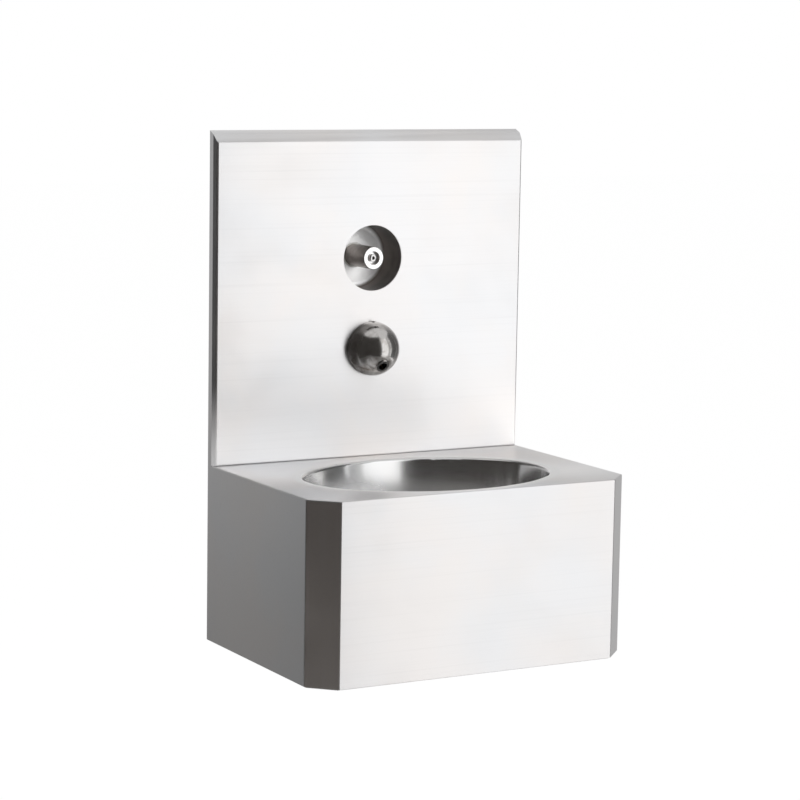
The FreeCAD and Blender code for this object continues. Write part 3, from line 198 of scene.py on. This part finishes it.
def sheet_finish(name, grain, roughness, tone=1.0, painted_chamfer_shade=False, painted_foot_light=None):
    """Fine parallel brush lines with the clouding and wipe marks of a sheet that has been handled.

    grain gives the lines to the metre along each axis: few along the brush, many across it.
    The last argument gives the two heights between which painted light at the foot, made by taking metal
    away, thins out to nothing.
    """
    finish = Finish(name, metallic=1)
    hair = finish.noise(*grain, detail=3, roughness=0.7)
    streak = finish.noise(*toned(grain, 0.4), detail=2, roughness=0.6)
    cloud = finish.noise(7, detail=3, roughness=0.5, distortion=0.3)
    wipe = finish.noise(11, 9, 14, detail=3, roughness=0.5, distortion=0.4)
    tint = finish.mix(cloud.eased(0.3, 0.7), toned(WARM_STEEL, tone), toned(COOL_STEEL, tone))
    if painted_chamfer_shade:
        # painted shade: the left cut corner, picked out by the way it faces, is painted a darker straw brown
        # of uneven strength
        corner = (finish.facing(0) * finish.facing(1)).eased(0.3, 0.48)
        painted_share = finish.noise(60, 60, 5, detail=3)
        tint = finish.mix(corner * (0.75 + painted_share * 0.5), tint, CHAMFER_PAINTED_SHADE)
    shade = 1 - (hair - 0.5).size() * 0.08 - streak.eased(0.5, 0.8) * 0.03
    grey = finish.node("ShaderNodeCombineColor", None, {0: shade, 1: shade, 2: shade})
    finish.set("Base Color", finish.mix(1.0, tint, grey, way="MULTIPLY"))
    rough = roughness + hair * 0.05 + wipe.eased(0.4, 0.75) * 0.04
    if painted_foot_light:
        # painted light: less metal and more roughness lighten the panel's foot, thinning out upwards
        painted_share = 1 - finish.along(2).eased(*painted_foot_light)
        finish.set("Metallic", 1 - painted_share * (0.25 + wipe * 0.5))
        rough = rough + painted_share * 0.12
    finish.set("Roughness", rough)
    finish.set("Anisotropic", 0.85)
    finish.set("Anisotropic Rotation", 0.25)
    finish.set("Normal", finish.bump(hair + streak, BRUSH_DEPTH))
    return finish


ACROSS_SHEET = (5, 760, 760)
PANEL = sheet_finish("panel_steel_painted_foot_light", ACROSS_SHEET, 0.27, painted_foot_light=(0.205, 0.30))
# painted shade: the wrap is a darker copy of the panel steel, and its left corner carries painted brown shade
SHADED_WRAP = sheet_finish("wrap_steel_painted_shade", ACROSS_SHEET, 0.27, tone=0.93, painted_chamfer_shade=True)
DECK = sheet_finish("deck_steel", (5, 700, 700), 0.30, tone=0.98)
HIDDEN = sheet_finish("mill_steel", (60, 60, 400), 0.42, tone=0.9)

DRAWN_WARM = (0.80, 0.79, 0.78)
DRAWN_COOL = (0.76, 0.765, 0.77)
BOWL_PAINTED_LIGHT = (0.93, 0.93, 0.935)
RIM_TINT = (0.775, 0.768, 0.762)


def bowl_finish():
    """Drawn and polished bowl, with the soft waviness that deep drawing leaves."""
    finish = Finish("bowl_steel_painted_light", metallic=1)
    wave = finish.noise(22, 22, 6, detail=1)
    hair = finish.noise(260, 260, 9, detail=3, roughness=0.7)
    cloud = finish.noise(11, detail=3)
    tint = finish.mix(cloud.eased(0.35, 0.65), DRAWN_WARM, DRAWN_COOL)
    # the flat rim is brushed with the deck round it
    rim = finish.facing(2).eased(0.55, 0.99) * finish.along(2).eased(0.196, 0.2015)
    # painted light: the left of the bowl, below the rim, is painted paler and less metallic, in streaks
    streaks = finish.noise(45, 45, 4, detail=2)
    left = 1 - finish.along(0).eased(-0.03, 0.045)
    painted_share = left * (1 - finish.along(2).eased(0.165, 0.197)) * (0.7 + streaks * 0.6)
    tint = finish.mix(painted_share.clipped(), tint, BOWL_PAINTED_LIGHT)
    finish.set("Base Color", finish.mix(rim, tint, RIM_TINT))
    finish.set("Metallic", 1 - painted_share * 0.42)
    # scouring has dulled the front wall
    scoured = 1 - finish.along(1).eased(-0.245, -0.19)
    drawn = 0.13 + hair * 0.06 + cloud.eased(0.5, 0.8) * 0.05 + scoured * 0.3
    finish.set("Roughness", drawn * (1 - rim) + rim * 0.33)
    ripple = finish.bump(wave * (1 - rim), 0.0009)
    finish.set("Normal", finish.bump(hair, 0.000008, after=ripple))
    return finish


BRIGHT_STEEL = (0.70, 0.69, 0.685)


def polished_finish():
    """Bright turned metal with faint turning marks and wipe haze."""
    finish = Finish("polished_steel", metallic=1)
    haze = finish.noise(60, detail=4, roughness=0.65)
    scuff = finish.noise(420, 90, 420, detail=3, roughness=0.7)
    worn = toned(BRIGHT_STEEL, 0.90)
    finish.set("Base Color", finish.mix(haze.eased(0.4, 0.7), BRIGHT_STEEL, worn))
    finish.set("Roughness", 0.09 + haze.eased(0.45, 0.75) * 0.06 + scuff * 0.03)
    finish.set("Normal", finish.bump(scuff, 0.000004))
    return finish


DOME_STEEL = (0.62, 0.605, 0.59)
DOME_PAINTED_SHADE = (0.27, 0.24, 0.215)


def dome_finish():
    """Polished spout with dark brown blotches of painted shade, thickest low down."""
    finish = Finish("dome_steel_painted_shade", metallic=1)
    haze = finish.noise(70, detail=5, roughness=0.65, distortion=0.6)
    scuff = finish.noise(300, detail=4, roughness=0.7)
    low = 1 - finish.along(2).eased(0.300, 0.352)
    # painted shade: dark brown blotches, heavier towards the bottom
    painted_shade = (haze.eased(0.42, 0.66) * (0.35 + low * 0.65)).clipped()
    finish.set("Base Color", finish.mix(painted_shade, DOME_STEEL, DOME_PAINTED_SHADE))
    finish.set("Roughness", 0.15 + painted_shade * 0.12 + scuff * 0.04)
    finish.set("Normal", finish.bump(scuff + haze * 2, 0.000012))
    return finish


def turned_finish(name, face, wall, face_roughness, wall_roughness, first, last, matt_front_share, deep_end=None):
    """A turned or drawn round piece with painted light and shade: its flat faces are painted bright, and its
    wall across them is painted dark, as lit and shaded copies of one metal.

    first and last say how squarely a surface faces along the piece's axis where the change runs, and the matt
    front share says how much of a flat front is matt; on the cup's near-white face this paints light. A
    hollow's wall is painted lighter towards its deep end, in metres along the axis.
    """
    finish = Finish(name, metallic=1)
    square = finish.facing(1).size().eased(first, last)
    rings = finish.noise(90, 2200, 90, detail=2)
    haze = finish.noise(80, detail=4, roughness=0.6)
    # painted shade on the wall tint and painted light on the face tint, chosen by facing
    shaded_wall_tint = finish.mix(haze.eased(0.38, 0.7), wall, toned(wall, 1.35))
    if deep_end is not None:
        shaded_wall_tint = finish.mix(finish.along(1).eased(0, deep_end), shaded_wall_tint, toned(wall, 2.6))
    lit_face_tint = finish.mix(haze.eased(0.45, 0.75), face, toned(face, 0.93))
    finish.set("Base Color", finish.mix(square, shaded_wall_tint, lit_face_tint))
    rough = square * (face_roughness - wall_roughness) + wall_roughness
    finish.set("Roughness", rough + haze * 0.06 + rings * 0.03)
    front = (0 - finish.facing(1)).eased(first, last)
    finish.set("Metallic", 1 - front * matt_front_share)
    finish.set("Normal", finish.bump(rings, 0.000006))
    return finish


def cast_finish(name, light, dark, roughness):
    """Machined metal that has dulled a little since it was cut."""
    finish = Finish(name, metallic=1)
    tarnish = finish.noise(55, detail=5, roughness=0.6, distortion=0.5)
    turning = finish.noise(40, 1500, 40, detail=2)
    finish.set("Base Color", finish.mix(tarnish.eased(0.4, 0.72), light, dark))
    finish.set("Roughness", roughness + tarnish * 0.16 + turning * 0.05)
    finish.set("Normal", finish.bump(turning + tarnish * 2, 0.00001))
    return finish


def soft_finish(name, light, dark, roughness):
    """Moulded rubber or plastic with a fine matt skin."""
    finish = Finish(name, roughness=roughness)
    skin = finish.noise(2600, detail=2)
    bloom = finish.noise(70, detail=3)
    finish.set("Base Color", finish.mix(bloom.eased(0.4, 0.7), dark, light))
    finish.set("Roughness", roughness + skin * 0.12)
    finish.set("Normal", finish.bump(skin, 0.00002))
    return finish


BOWL = bowl_finish()
POLISHED = polished_finish()
DOME = dome_finish()
# painted shade: the barrel's dark brown wall paints the dark it reflects, and the bright face is its lit copy
BUTTON_PAINTED = turned_finish(
    "button_steel_painted_shade",
    face=(0.93, 0.925, 0.92),
    wall=(0.27, 0.24, 0.225),
    face_roughness=0.16,
    wall_roughness=0.30,
    first=0.62,
    last=0.90,
    matt_front_share=0.25,
)
# painted light and shade: a near-white matt back face, and a near-black wall painted lighter towards the back
CUP_PAINTED = turned_finish(
    "cup_steel_painted_light_and_shade",
    face=(1.0, 0.995, 0.99),
    wall=(0.095, 0.083, 0.076),
    face_roughness=0.26,
    wall_roughness=0.34,
    first=0.30,
    last=0.99,
    matt_front_share=0.85,
    deep_end=0.03,
)
BRASS = cast_finish("brass", (0.80, 0.60, 0.30), (0.55, 0.38, 0.17), 0.25)
COPPER = cast_finish("copper", (0.86, 0.47, 0.32), (0.52, 0.26, 0.17), 0.28)
SPRING = cast_finish("spring_steel", (0.55, 0.56, 0.58), (0.40, 0.40, 0.42), 0.22)
RUBBER = soft_finish("rubber", (0.035, 0.035, 0.037), (0.018, 0.018, 0.019), 0.62)
ACETAL = soft_finish("acetal", (0.78, 0.77, 0.74), (0.70, 0.69, 0.66), 0.38)

FINISHES = {
    "casing_wrap": SHADED_WRAP,
    "wall_weld_nuts": HIDDEN,
    "top_rail": PANEL,
    "rear_sill": HIDDEN,
    "splashback_tray": PANEL,
    "basin_deck": DECK,
    "basin_bowl": BOWL,
    "waste_body": POLISHED,
    "waste_grid": POLISHED,
    "waste_screw": POLISHED,
    "waste_seal": RUBBER,
    "waste_washer": RUBBER,
    "waste_back_nut": BRASS,
    "underside_panel": HIDDEN,
    "underside_screws": POLISHED,
    "recess_cup": CUP_PAINTED,
    "guide_bush": ACETAL,
    "push_button": BUTTON_PAINTED,
    "button_screw": POLISHED,
    "valve_stem": POLISHED,
    "piston_seal": RUBBER,
    "piston_nut": BRASS,
    "return_spring": SPRING,
    "valve_body": BRASS,
    "valve_gasket": RUBBER,
    "valve_studs": POLISHED,
    "valve_stud_nuts": POLISHED,
    "stem_seal": RUBBER,
    "inlet_union": BRASS,
    "union_washer": RUBBER,
    "spout_dome": DOME,
    "outlet_nozzle": DOME,
    "spout_gasket": RUBBER,
    "spout_shank": BRASS,
    "spout_washer": POLISHED,
    "spout_back_nut": BRASS,
    "spout_grub_screw": DOME,
    "supply_pipe": COPPER,
    "valve_pipe_nut": BRASS,
    "valve_olive": COPPER,
    "spout_pipe_nut": BRASS,
    "spout_olive": COPPER,
}


def wear(piece, finish):
    """Gives a piece its finish in every slot."""
    piece.data.materials.clear()
    piece.data.materials.append(finish.material)


for label, finish in FINISHES.items():
    wear(nodes[label], finish)

# ---------------------------------------------------------------- pieces

MM = 0.001
FULL_TURN = 2 * math.pi
BUTTON_AXIS = Vector((0, 0, 434)) * MM
SPOUT_AXIS = Vector((0, 0, 329)) * MM
WASTE_AXIS = Vector((0, -152, 0)) * MM

# Screw threads, in millimetres: how far one turn climbs, and how deep it cuts.
PIPE_THREAD = {"pitch": 1.814, "depth": 1.0}
WASTE_THREAD = {"pitch": 2.309, "depth": 1.2}
M4_THREAD = {"pitch": 0.7, "depth": 0.36}
M5_THREAD = {"pitch": 0.8, "depth": 0.42}
PIPE_RADIUS = 10.48
WASTE_RADIUS = 20.95
M4_RADIUS = 2
M5_RADIUS = 2.5


def pick(*pieces):
    """Selects only these pieces, and makes the last one active."""
    bpy.ops.object.select_all(action="DESELECT")
    for piece in pieces:
        piece.select_set(True)
        bpy.context.view_layer.objects.active = piece


def apply_modifier(piece, kind, **settings):
    """Adds a modifier, sets it and applies it."""
    pick(piece)
    bpy.ops.object.modifier_add(type=kind)
    added = piece.modifiers[-1]
    for name, value in settings.items():
        setattr(added, name, value)
    bpy.ops.object.modifier_apply(modifier=added.name)


def edit_all(piece, *steps):
    """Runs edit mode steps, each an operator and its settings, with everything selected."""
    pick(piece)
    bpy.ops.object.mode_set(mode="EDIT")
    for operator, settings in steps:
        bpy.ops.mesh.select_all(action="SELECT")
        operator(**settings)
    bpy.ops.object.mode_set(mode="OBJECT")


MERGE = (bpy.ops.mesh.remove_doubles, {"threshold": 0.002 * MM})
CLOSE_ENDS = (bpy.ops.mesh.fill_holes, {"sides": 0})
FACE_OUT = (bpy.ops.mesh.normals_make_consistent, {"inside": False})


def slice_off(place, direction):
    """An edit step that cuts away what lies past a plane, and closes the cut."""
    settings = {"plane_co": Vector(place) * MM, "plane_no": direction, "threshold": 0.0001 * MM}
    return bpy.ops.mesh.bisect, {**settings, "use_fill": True, "clear_outer": True}


def edit_some(piece, kind, chosen, operator, **settings):
    """Runs one edit mode operator on only the chosen points or edges."""
    pick(piece)
    bpy.ops.object.mode_set(mode="EDIT")
    bpy.ops.mesh.select_mode(type=kind)
    bpy.ops.mesh.select_all(action="DESELECT")
    bpy.ops.object.mode_set(mode="OBJECT")
    for part in piece.data.vertices if kind == "VERT" else piece.data.edges:
        part.select = chosen(part)
    bpy.ops.object.mode_set(mode="EDIT")
    operator(**settings)
    bpy.ops.object.mode_set(mode="OBJECT")


def settle(piece):
    """Puts the piece's origin at the world's, with its place in its mesh."""
    pick(piece)
    bpy.ops.object.transform_apply(location=True, rotation=True, scale=True)


def move_origin(piece, place):
    """Puts the piece's origin at a place without moving the piece."""
    pick(piece)
    bpy.context.scene.cursor.location = place
    bpy.ops.object.origin_set(type="ORIGIN_CURSOR")
    bpy.context.scene.cursor.location = (0, 0, 0)


def copy_node(label, name):
    """A copy of a CAD piece, its loose triangles joined up, ready to be worked on."""
    made = nodes[label].copy()
    made.data = nodes[label].data.copy()
    made.name = name
    made.animation_data_clear()
    bpy.context.scene.collection.objects.link(made)
    for key in list(made.keys()):
        del made[key]
    edit_all(made, MERGE)
    return made


def join(*pieces):
    pick(*pieces)
    bpy.ops.object.join()
    return bpy.context.object


def cut(piece, tool, operation="DIFFERENCE"):
    """Cuts a tool out of a piece, or joins it on, and throws the tool away."""
    apply_modifier(piece, "BOOLEAN", object=tool, operation=operation, solver="EXACT")
    bpy.data.objects.remove(tool)


def smooth(piece, angle=32):
    pick(piece)
    bpy.ops.object.shade_smooth_by_angle(angle=math.radians(angle))


def hand_over(piece, body, finish, label):
    """Finishes a piece: what it rides on, its finish and the CAD piece that it stands for."""
    settle(piece)
    wear(piece, finish)
    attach(piece, body)
    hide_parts(label)


def rod(centre, axis, radius, start, end, sides=32):
    """A plain prism along an axis, to start a piece or a cutting tool from."""
    place = Vector(centre)
    place["XYZ".index(axis)] = (start + end) / 2 * MM
    turn = {"Y": (math.pi / 2, 0, 0), "Z": (0, 0, 0)}[axis]
    bpy.ops.mesh.primitive_cylinder_add(
        vertices=sides, radius=radius * MM, depth=(end - start) * MM, location=place, rotation=turn)
    made = bpy.context.object
    settle(made)
    return made


def hexagon_tool(centre, axis, flats, start, end):
    """The shape of a hexagon socket, from its width across flats."""
    return rod(centre, axis, flats / math.sqrt(3), start, end, sides=6)


def block(length, width, height, place, turn=0):
    """A box of that size, in millimetres, turned about the upright axis."""
    bpy.ops.mesh.primitive_cube_add(size=1, location=place)
    made = bpy.context.object
    made.scale = (length * MM, width * MM, height * MM)
    made.rotation_euler = (0, 0, turn)
    settle(made)
    return made


def knurl(piece, centre, axis, radius, depth):
    """Pulls in every other upright of a many-sided rod, for a finger grip."""
    along = "XYZ".index(axis)
    across, up = (number for number in range(3) if number != along)
    sides = len(piece.data.vertices) // 2

    def odd(vertex):
        angle = math.atan2(vertex.co[up] - centre[up], vertex.co[across] - centre[across])
        return round(angle / FULL_TURN * sides) % 2 == 1

    scale = [1 - depth / radius] * 3
    scale[along] = 1
    edit_some(piece, "VERT", odd, bpy.ops.transform.resize, value=scale, center_override=centre)


SAME_PLACE = 0.01


def bevel_end(piece, axis, place, width, segments=2):
    """Bevels the edges that lie at one place along an axis."""
    along = "XYZ".index(axis)
    places = [point.co[along] / MM for point in piece.data.vertices]

    def at_end(edge):
        return all(abs(places[number] - place) < SAME_PLACE for number in edge.vertices)

    edit_some(piece, "EDGE", at_end, bpy.ops.mesh.bevel, offset=width * MM, segments=segments, affect="EDGES")


def sweep_round(outline, centre, axis, rise, turns, steps):
    """Sweeps an outline round an axis, climbing by rise with each turn."""
    move_origin(outline, centre)
    apply_modifier(outline, "SCREW", axis=axis, angle=FULL_TURN, screw_offset=rise * MM, iterations=turns,
                   steps=steps, render_steps=steps, use_merge_vertices=False)


# How a three-sided outline is turned so that one corner points at the axis.
CORNER_INWARD = {"Y": (0, 0, math.pi / 2), "Z": (math.pi / 2, -math.pi / 2, 0)}
THREAD_OVERSHOOT = 0.3
THREAD_STEPS = 40


def thread_tool(centre, axis, radius, start, turns, pitch, depth):
    """A wound three-sided ridge, the shape that a threading die takes out."""
    # a three-sided outline is one and a half times as deep as its radius
    size = (depth + THREAD_OVERSHOOT) / 1.5
    place = Vector(centre)
    place.x += (radius - depth + size) * MM
    place["XYZ".index(axis)] = start * MM
    bpy.ops.mesh.primitive_circle_add(
        vertices=3, radius=size * MM, location=place, rotation=CORNER_INWARD[axis])
    ridge = bpy.context.object
    settle(ridge)
    sweep_round(ridge, centre, axis, pitch, turns, THREAD_STEPS)
    edit_all(ridge, MERGE, CLOSE_ENDS, FACE_OUT)
    return ridge


def cut_thread(piece, centre, axis, radius, start, end, pitch, depth):
    """Cuts a screw thread between two places along the axis, in millimetres."""
    turns = int((end - start) / pitch)
    cut(piece, thread_tool(centre, axis, radius, start, turns, pitch, depth))


# Return spring: a closed turn at each end, ground flat, and four working turns.
SPRING_FRONT = 35.1
SPRING_REAR = 66.0
SPRING_WIRE = 0.9
SPRING_WIRE_SIDES = 14
SPRING_COIL = 10
SPRING_STEPS = 56
CLOSED_RISE = 1.85
WORKING_TURNS = 4
GROUND_OFF = 0.3


def spring_run(start, rise, turns):
    place = BUTTON_AXIS + Vector((SPRING_COIL, start, 0)) * MM
    bpy.ops.mesh.primitive_circle_add(vertices=SPRING_WIRE_SIDES, radius=SPRING_WIRE * MM, location=place)
    outline = bpy.context.object
    settle(outline)
    sweep_round(outline, BUTTON_AXIS, "Y", rise, turns, SPRING_STEPS)
    return outline


def wind_spring():
    """Winds the spring in three runs, joins them and grinds its ends flat."""
    first = SPRING_FRONT + GROUND_OFF
    last = SPRING_REAR - GROUND_OFF
    middle = first + CLOSED_RISE
    working = last - CLOSED_RISE - middle
    spring = join(
        spring_run(first, CLOSED_RISE, 1),
        spring_run(middle, working / WORKING_TURNS, WORKING_TURNS),
        spring_run(last - CLOSED_RISE, CLOSED_RISE, 1),
    )
    spring.name = "wound_return_spring"
    settle(spring)
    edit_all(
        spring,
        MERGE,
        CLOSE_ENDS,
        FACE_OUT,
        slice_off((0, SPRING_FRONT, 0), (0, -1, 0)),
        slice_off((0, SPRING_REAR, 0), (0, 1, 0)),
    )
    smooth(spring, 40)
    hand_over(spring, "basin_unit", SPRING, "return_spring")
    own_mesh(spring)


def thread_copy(label, centre, axis, radius, start, end, thread, finish):
    """Makes a CAD piece again with its screw thread, which shows from behind or from below."""
    made = copy_node(label, f"threaded_{label}")
    cut_thread(made, centre, axis, radius, start, end, **thread)
    smooth(made)
    hand_over(made, "basin_unit", finish, label)


def make_button_screw():
    """Knurled socket head screw in the button's well. Its tools reach a little past what they cut."""
    front, seat, end = -18, -13, 7
    head_radius = 4.25
    socket_depth = 3
    plain_neck = 2
    past = 0.5
    head = rod(BUTTON_AXIS, "Y", head_radius, front, seat, sides=64)
    knurl(head, BUTTON_AXIS, "Y", head_radius, depth=0.16)
    bevel_end(head, "Y", front, width=0.35)
    shank = rod(BUTTON_AXIS, "Y", M5_RADIUS, seat - past, end, sides=40)
    bevel_end(shank, "Y", end, width=0.5, segments=1)
    cut(head, shank, "UNION")
    cut(head, hexagon_tool(BUTTON_AXIS, "Y", flats=4, start=front - past, end=front + socket_depth))
    cut_thread(head, BUTTON_AXIS, "Y", M5_RADIUS, seat + plain_neck, end + 2 * past, **M5_THREAD)
    head.name = "knurled_button_screw"
    smooth(head)
    hand_over(head, "button_group", POLISHED, "button_screw")


# The three screws on the underside's right, by their places across and along. The left mirrors them.
UNDERSIDE_SCREW_PLACES = ((188.5, -60), (188.5, -176), (110, -261.5))
UNDERSIDE_THREAD_START = 1.6
UNDERSIDE_THREAD_TURNS = 11
CROSS_LENGTH = 4.0
CROSS_WIDTH = 0.8
CROSS_MOUTH = -2.2
CROSS_FLOOR = 0.1


def cross_tool(x, y):
    """The shape of a cross recess, for a screw that points up."""
    height = CROSS_FLOOR - CROSS_MOUTH
    place = Vector((x, y, (CROSS_MOUTH + CROSS_FLOOR) / 2)) * MM
    arm, other = (block(CROSS_LENGTH, CROSS_WIDTH, height, place, turn) for turn in (0, math.pi / 2))
    cut(arm, other, "UNION")
    return arm


def make_underside_screws():
    """Six countersunk screws with cross recesses and threads."""
    screws = copy_node("underside_screws", "cross_recess_screws")
    places = sorted({(side * x, y) for side in (-1, 1) for x, y in UNDERSIDE_SCREW_PLACES})
    cut(screws, join(*(cross_tool(x, y) for x, y in places)))
    threads = [
        thread_tool(Vector((x, y, 0)) * MM, "Z", M4_RADIUS, UNDERSIDE_THREAD_START, UNDERSIDE_THREAD_TURNS,
                    **M4_THREAD)
        for x, y in places
    ]
    cut(screws, join(*threads))
    smooth(screws)
    hand_over(screws, "basin_unit", POLISHED, "underside_screws")


STUD_CIRCLE = 26.5
STUD_THREAD_START = 35.4
STUD_THREAD_TURNS = 12


def make_studs():
    """Four threaded studs that hold the valve."""
    studs = copy_node("valve_studs", "threaded_valve_studs")
    reach = STUD_CIRCLE / math.sqrt(2)
    places = [BUTTON_AXIS + Vector((x, 0, z)) * MM for x in (-reach, reach) for z in (-reach, reach)]
    threads = [
        thread_tool(place, "Y", M5_RADIUS, STUD_THREAD_START, STUD_THREAD_TURNS, **M5_THREAD)
        for place in places
    ]
    cut(studs, join(*threads))
    smooth(studs)
    hand_over(studs, "basin_unit", POLISHED, "valve_studs")


def make_waste_screw():
    """Slotted screw in the middle of the grid."""
    screw = copy_node("waste_screw", "slotted_waste_screw")
    top, start, end = 85, 70, 81
    place = WASTE_AXIS + Vector((0, 0, top)) * MM
    cut(screw, block(length=12, width=1.3, height=2.6, place=place, turn=0.6))
    cut_thread(screw, WASTE_AXIS, "Z", M5_RADIUS, start, end, **M5_THREAD)
    smooth(screw)
    hand_over(screw, "basin_unit", POLISHED, "waste_screw")


def make_grub_screw():
    """Socket set screw in the skirt of the spout."""
    screw = copy_node("spout_grub_screw", "socket_grub_screw")
    centre = SPOUT_AXIS + Vector((0, -20.8, 0)) * MM
    cut(screw, hexagon_tool(centre, "Z", flats=2, start=359, end=362))
    smooth(screw)
    hand_over(screw, "basin_unit", DOME, "spout_grub_screw")


wind_spring()
thread_copy("inlet_union", BUTTON_AXIS, "Y", PIPE_RADIUS, 123.2, 138.0, PIPE_THREAD, BRASS)
thread_copy("spout_shank", SPOUT_AXIS, "Y", PIPE_RADIUS, -5.8, 17.5, PIPE_THREAD, BRASS)
thread_copy("waste_body", WASTE_AXIS, "Z", WASTE_RADIUS, 48.0, 78.0, WASTE_THREAD, POLISHED)
make_button_screw()
make_underside_screws()
make_studs()
make_waste_screw()
make_grub_screw()

# ---------------------------------------------------------------- room

FLOOR_LEVEL = -0.75
FLOOR_SIZE = 40
SCREEN_TOP = 2.32
CEILING_RISE = 2.0
CEILING_SIZE = 4.6
MIDDLE = Vector((0, -0.13, 0.3))
NEAR = 1.3
FAR = 2.2
WARM_DARK = (1.0, 0.93, 0.88)
# One flat card stands for about this many degrees of a screen, and is made this much wider to overlap.
CARD_SPREAD = 24
CARD_OVERLAP = 1.002
# Where a fading card changes, in shares of its height from its middle.
FADED_BELOW = -0.36
FULL_ABOVE = -0.14
FLOOR_WHITE = 0.85


def glowing(name, level, tint=(1, 1, 1), fade=0):
    """Shows the same grey from anywhere. A standing card may fade to a share of it towards its foot."""
    finish = Finish(name)
    finish.set("Base Color", (0, 0, 0))
    finish.set("Specular IOR Level", 0.0)
    full = toned(tint, level)
    if fade:
        upper = finish.along(1).eased(FADED_BELOW, FULL_ABOVE)
        finish.set("Emission Color", finish.mix(upper, toned(full, fade), full))
    else:
        finish.set("Emission Color", full)
    finish.set("Emission Strength", 1.0)
    return finish


def set_up_card(name, place, aim, width, height, finish):
    """A flat card that only reflections see."""
    bpy.ops.mesh.primitive_plane_add(size=1, location=place)
    made = bpy.context.object
    made.name = name
    made.rotation_euler = (Vector(aim) - Vector(place)).to_track_quat("Z", "Y").to_euler()
    made.scale = (width, height, 1)
    made.visible_camera = False
    made.visible_shadow = False
    made.visible_diffuse = False
    wear(made, finish)


def screen(name, first, last, level, tint=(1, 1, 1), distance=FAR, fade=0):
    """A standing screen round the unit from one bearing to another, in degrees from straight in front.

    Bearings grow towards the unit's right-hand side, as seen from the front.
    """
    finish = glowing(name, level, tint, fade)
    cards = max(1, round(abs(last - first) / CARD_SPREAD))
    step = (last - first) / cards
    width = 2 * distance * math.tan(math.radians(abs(step) / 2)) * CARD_OVERLAP
    height = SCREEN_TOP - FLOOR_LEVEL
    aim = Vector((MIDDLE.x, MIDDLE.y, FLOOR_LEVEL + height / 2))
    for number in range(cards):
        bearing = math.radians(first + step * (number + 0.5))
        away = Vector((math.sin(bearing), -math.cos(bearing), 0)) * distance
        set_up_card(f"{name}_{number}", aim + away, aim, width, height, finish)


def is_seen(finish):
    """1 where the surface is seen straight or in metal or glass, and 0 where it lights something."""
    rays = finish.node("ShaderNodeLightPath").node.outputs
    straight, mirrored, through = (
        Number(finish, rays[kind]) for kind in ("Is Camera Ray", "Is Glossy Ray", "Is Transmission Ray"))
    return straight.most(mirrored).most(through)


def lay_floor():
    """A pale floor, well below the unit because the unit hangs on a wall."""
    bpy.ops.mesh.primitive_plane_add(size=FLOOR_SIZE, location=(0, 0, FLOOR_LEVEL))
    made = bpy.context.object
    made.name = "floor"
    finish = Finish("floor", roughness=0.8)
    finish.set("Base Color", (0.98, 0.98, 0.98))
    finish.set("Specular IOR Level", 0.0)
    white = finish.node("ShaderNodeEmission", None, {"Color": (1, 1, 1), "Strength": 1.0})
    # most of what is seen is plain white, and the rest shows the unit's shadow
    inputs = {0: is_seen(finish) * FLOOR_WHITE, 1: finish.shader.outputs[0], 2: white}
    mixed = finish.node("ShaderNodeMixShader", None, inputs)
    finish.tree.links.new(mixed, finish.tree.nodes["Material Output"].inputs["Surface"])
    wear(made, finish)


def light_world():
    """Even white light from all round."""
    made = bpy.data.worlds.new("studio")
    bpy.context.scene.world = made
    made.use_nodes = True
    background = made.node_tree.nodes["Background"]
    background.inputs["Color"].default_value = (1, 1, 1, 1)
    background.inputs["Strength"].default_value = 1.0


def hang_lamp(name, place, aim, size, power):
    """A soft lamp that lights matt surfaces and casts the shadows. Metal shows the screens instead."""
    light = bpy.data.lights.new(name, "AREA")
    light.shape = "SQUARE"
    light.size = size
    light.energy = power
    made = bpy.data.objects.new(name, light)
    made.location = place
    made.rotation_euler = (Vector(place) - Vector(aim)).to_track_quat("Z", "Y").to_euler()
    made.visible_glossy = False
    bpy.context.scene.collection.objects.link(made)


lay_floor()
light_world()
screen("white_screen", 15, 47, 1.30)
screen("grey_screen", 47, 59, 0.5)
screen("slit_screen", 59, 63, 1.3)
screen("far_screen", 63, 98, 0.13)
screen("right_screen", 98, 140, 0.5)
screen("back_screen", 140, 180, 0.8)
screen("dark_screen", 15, -112, 0.052, WARM_DARK, distance=NEAR)
screen("black_screen", -112, -138, 0.03, distance=NEAR)
screen("left_screen", -138, -180, 0.44, distance=NEAR, fade=0.5)
ceiling = MIDDLE + Vector((0, 0, CEILING_RISE))
set_up_card("ceiling", ceiling, MIDDLE, CEILING_SIZE, CEILING_SIZE, glowing("ceiling", 0.76))
hang_lamp("key", (1.0, -2.2, 1.0), BUTTON_AXIS, size=0.9, power=42)
hang_lamp("fill", (-1.4, -1.6, 1.4), MIDDLE, size=1.2, power=5)
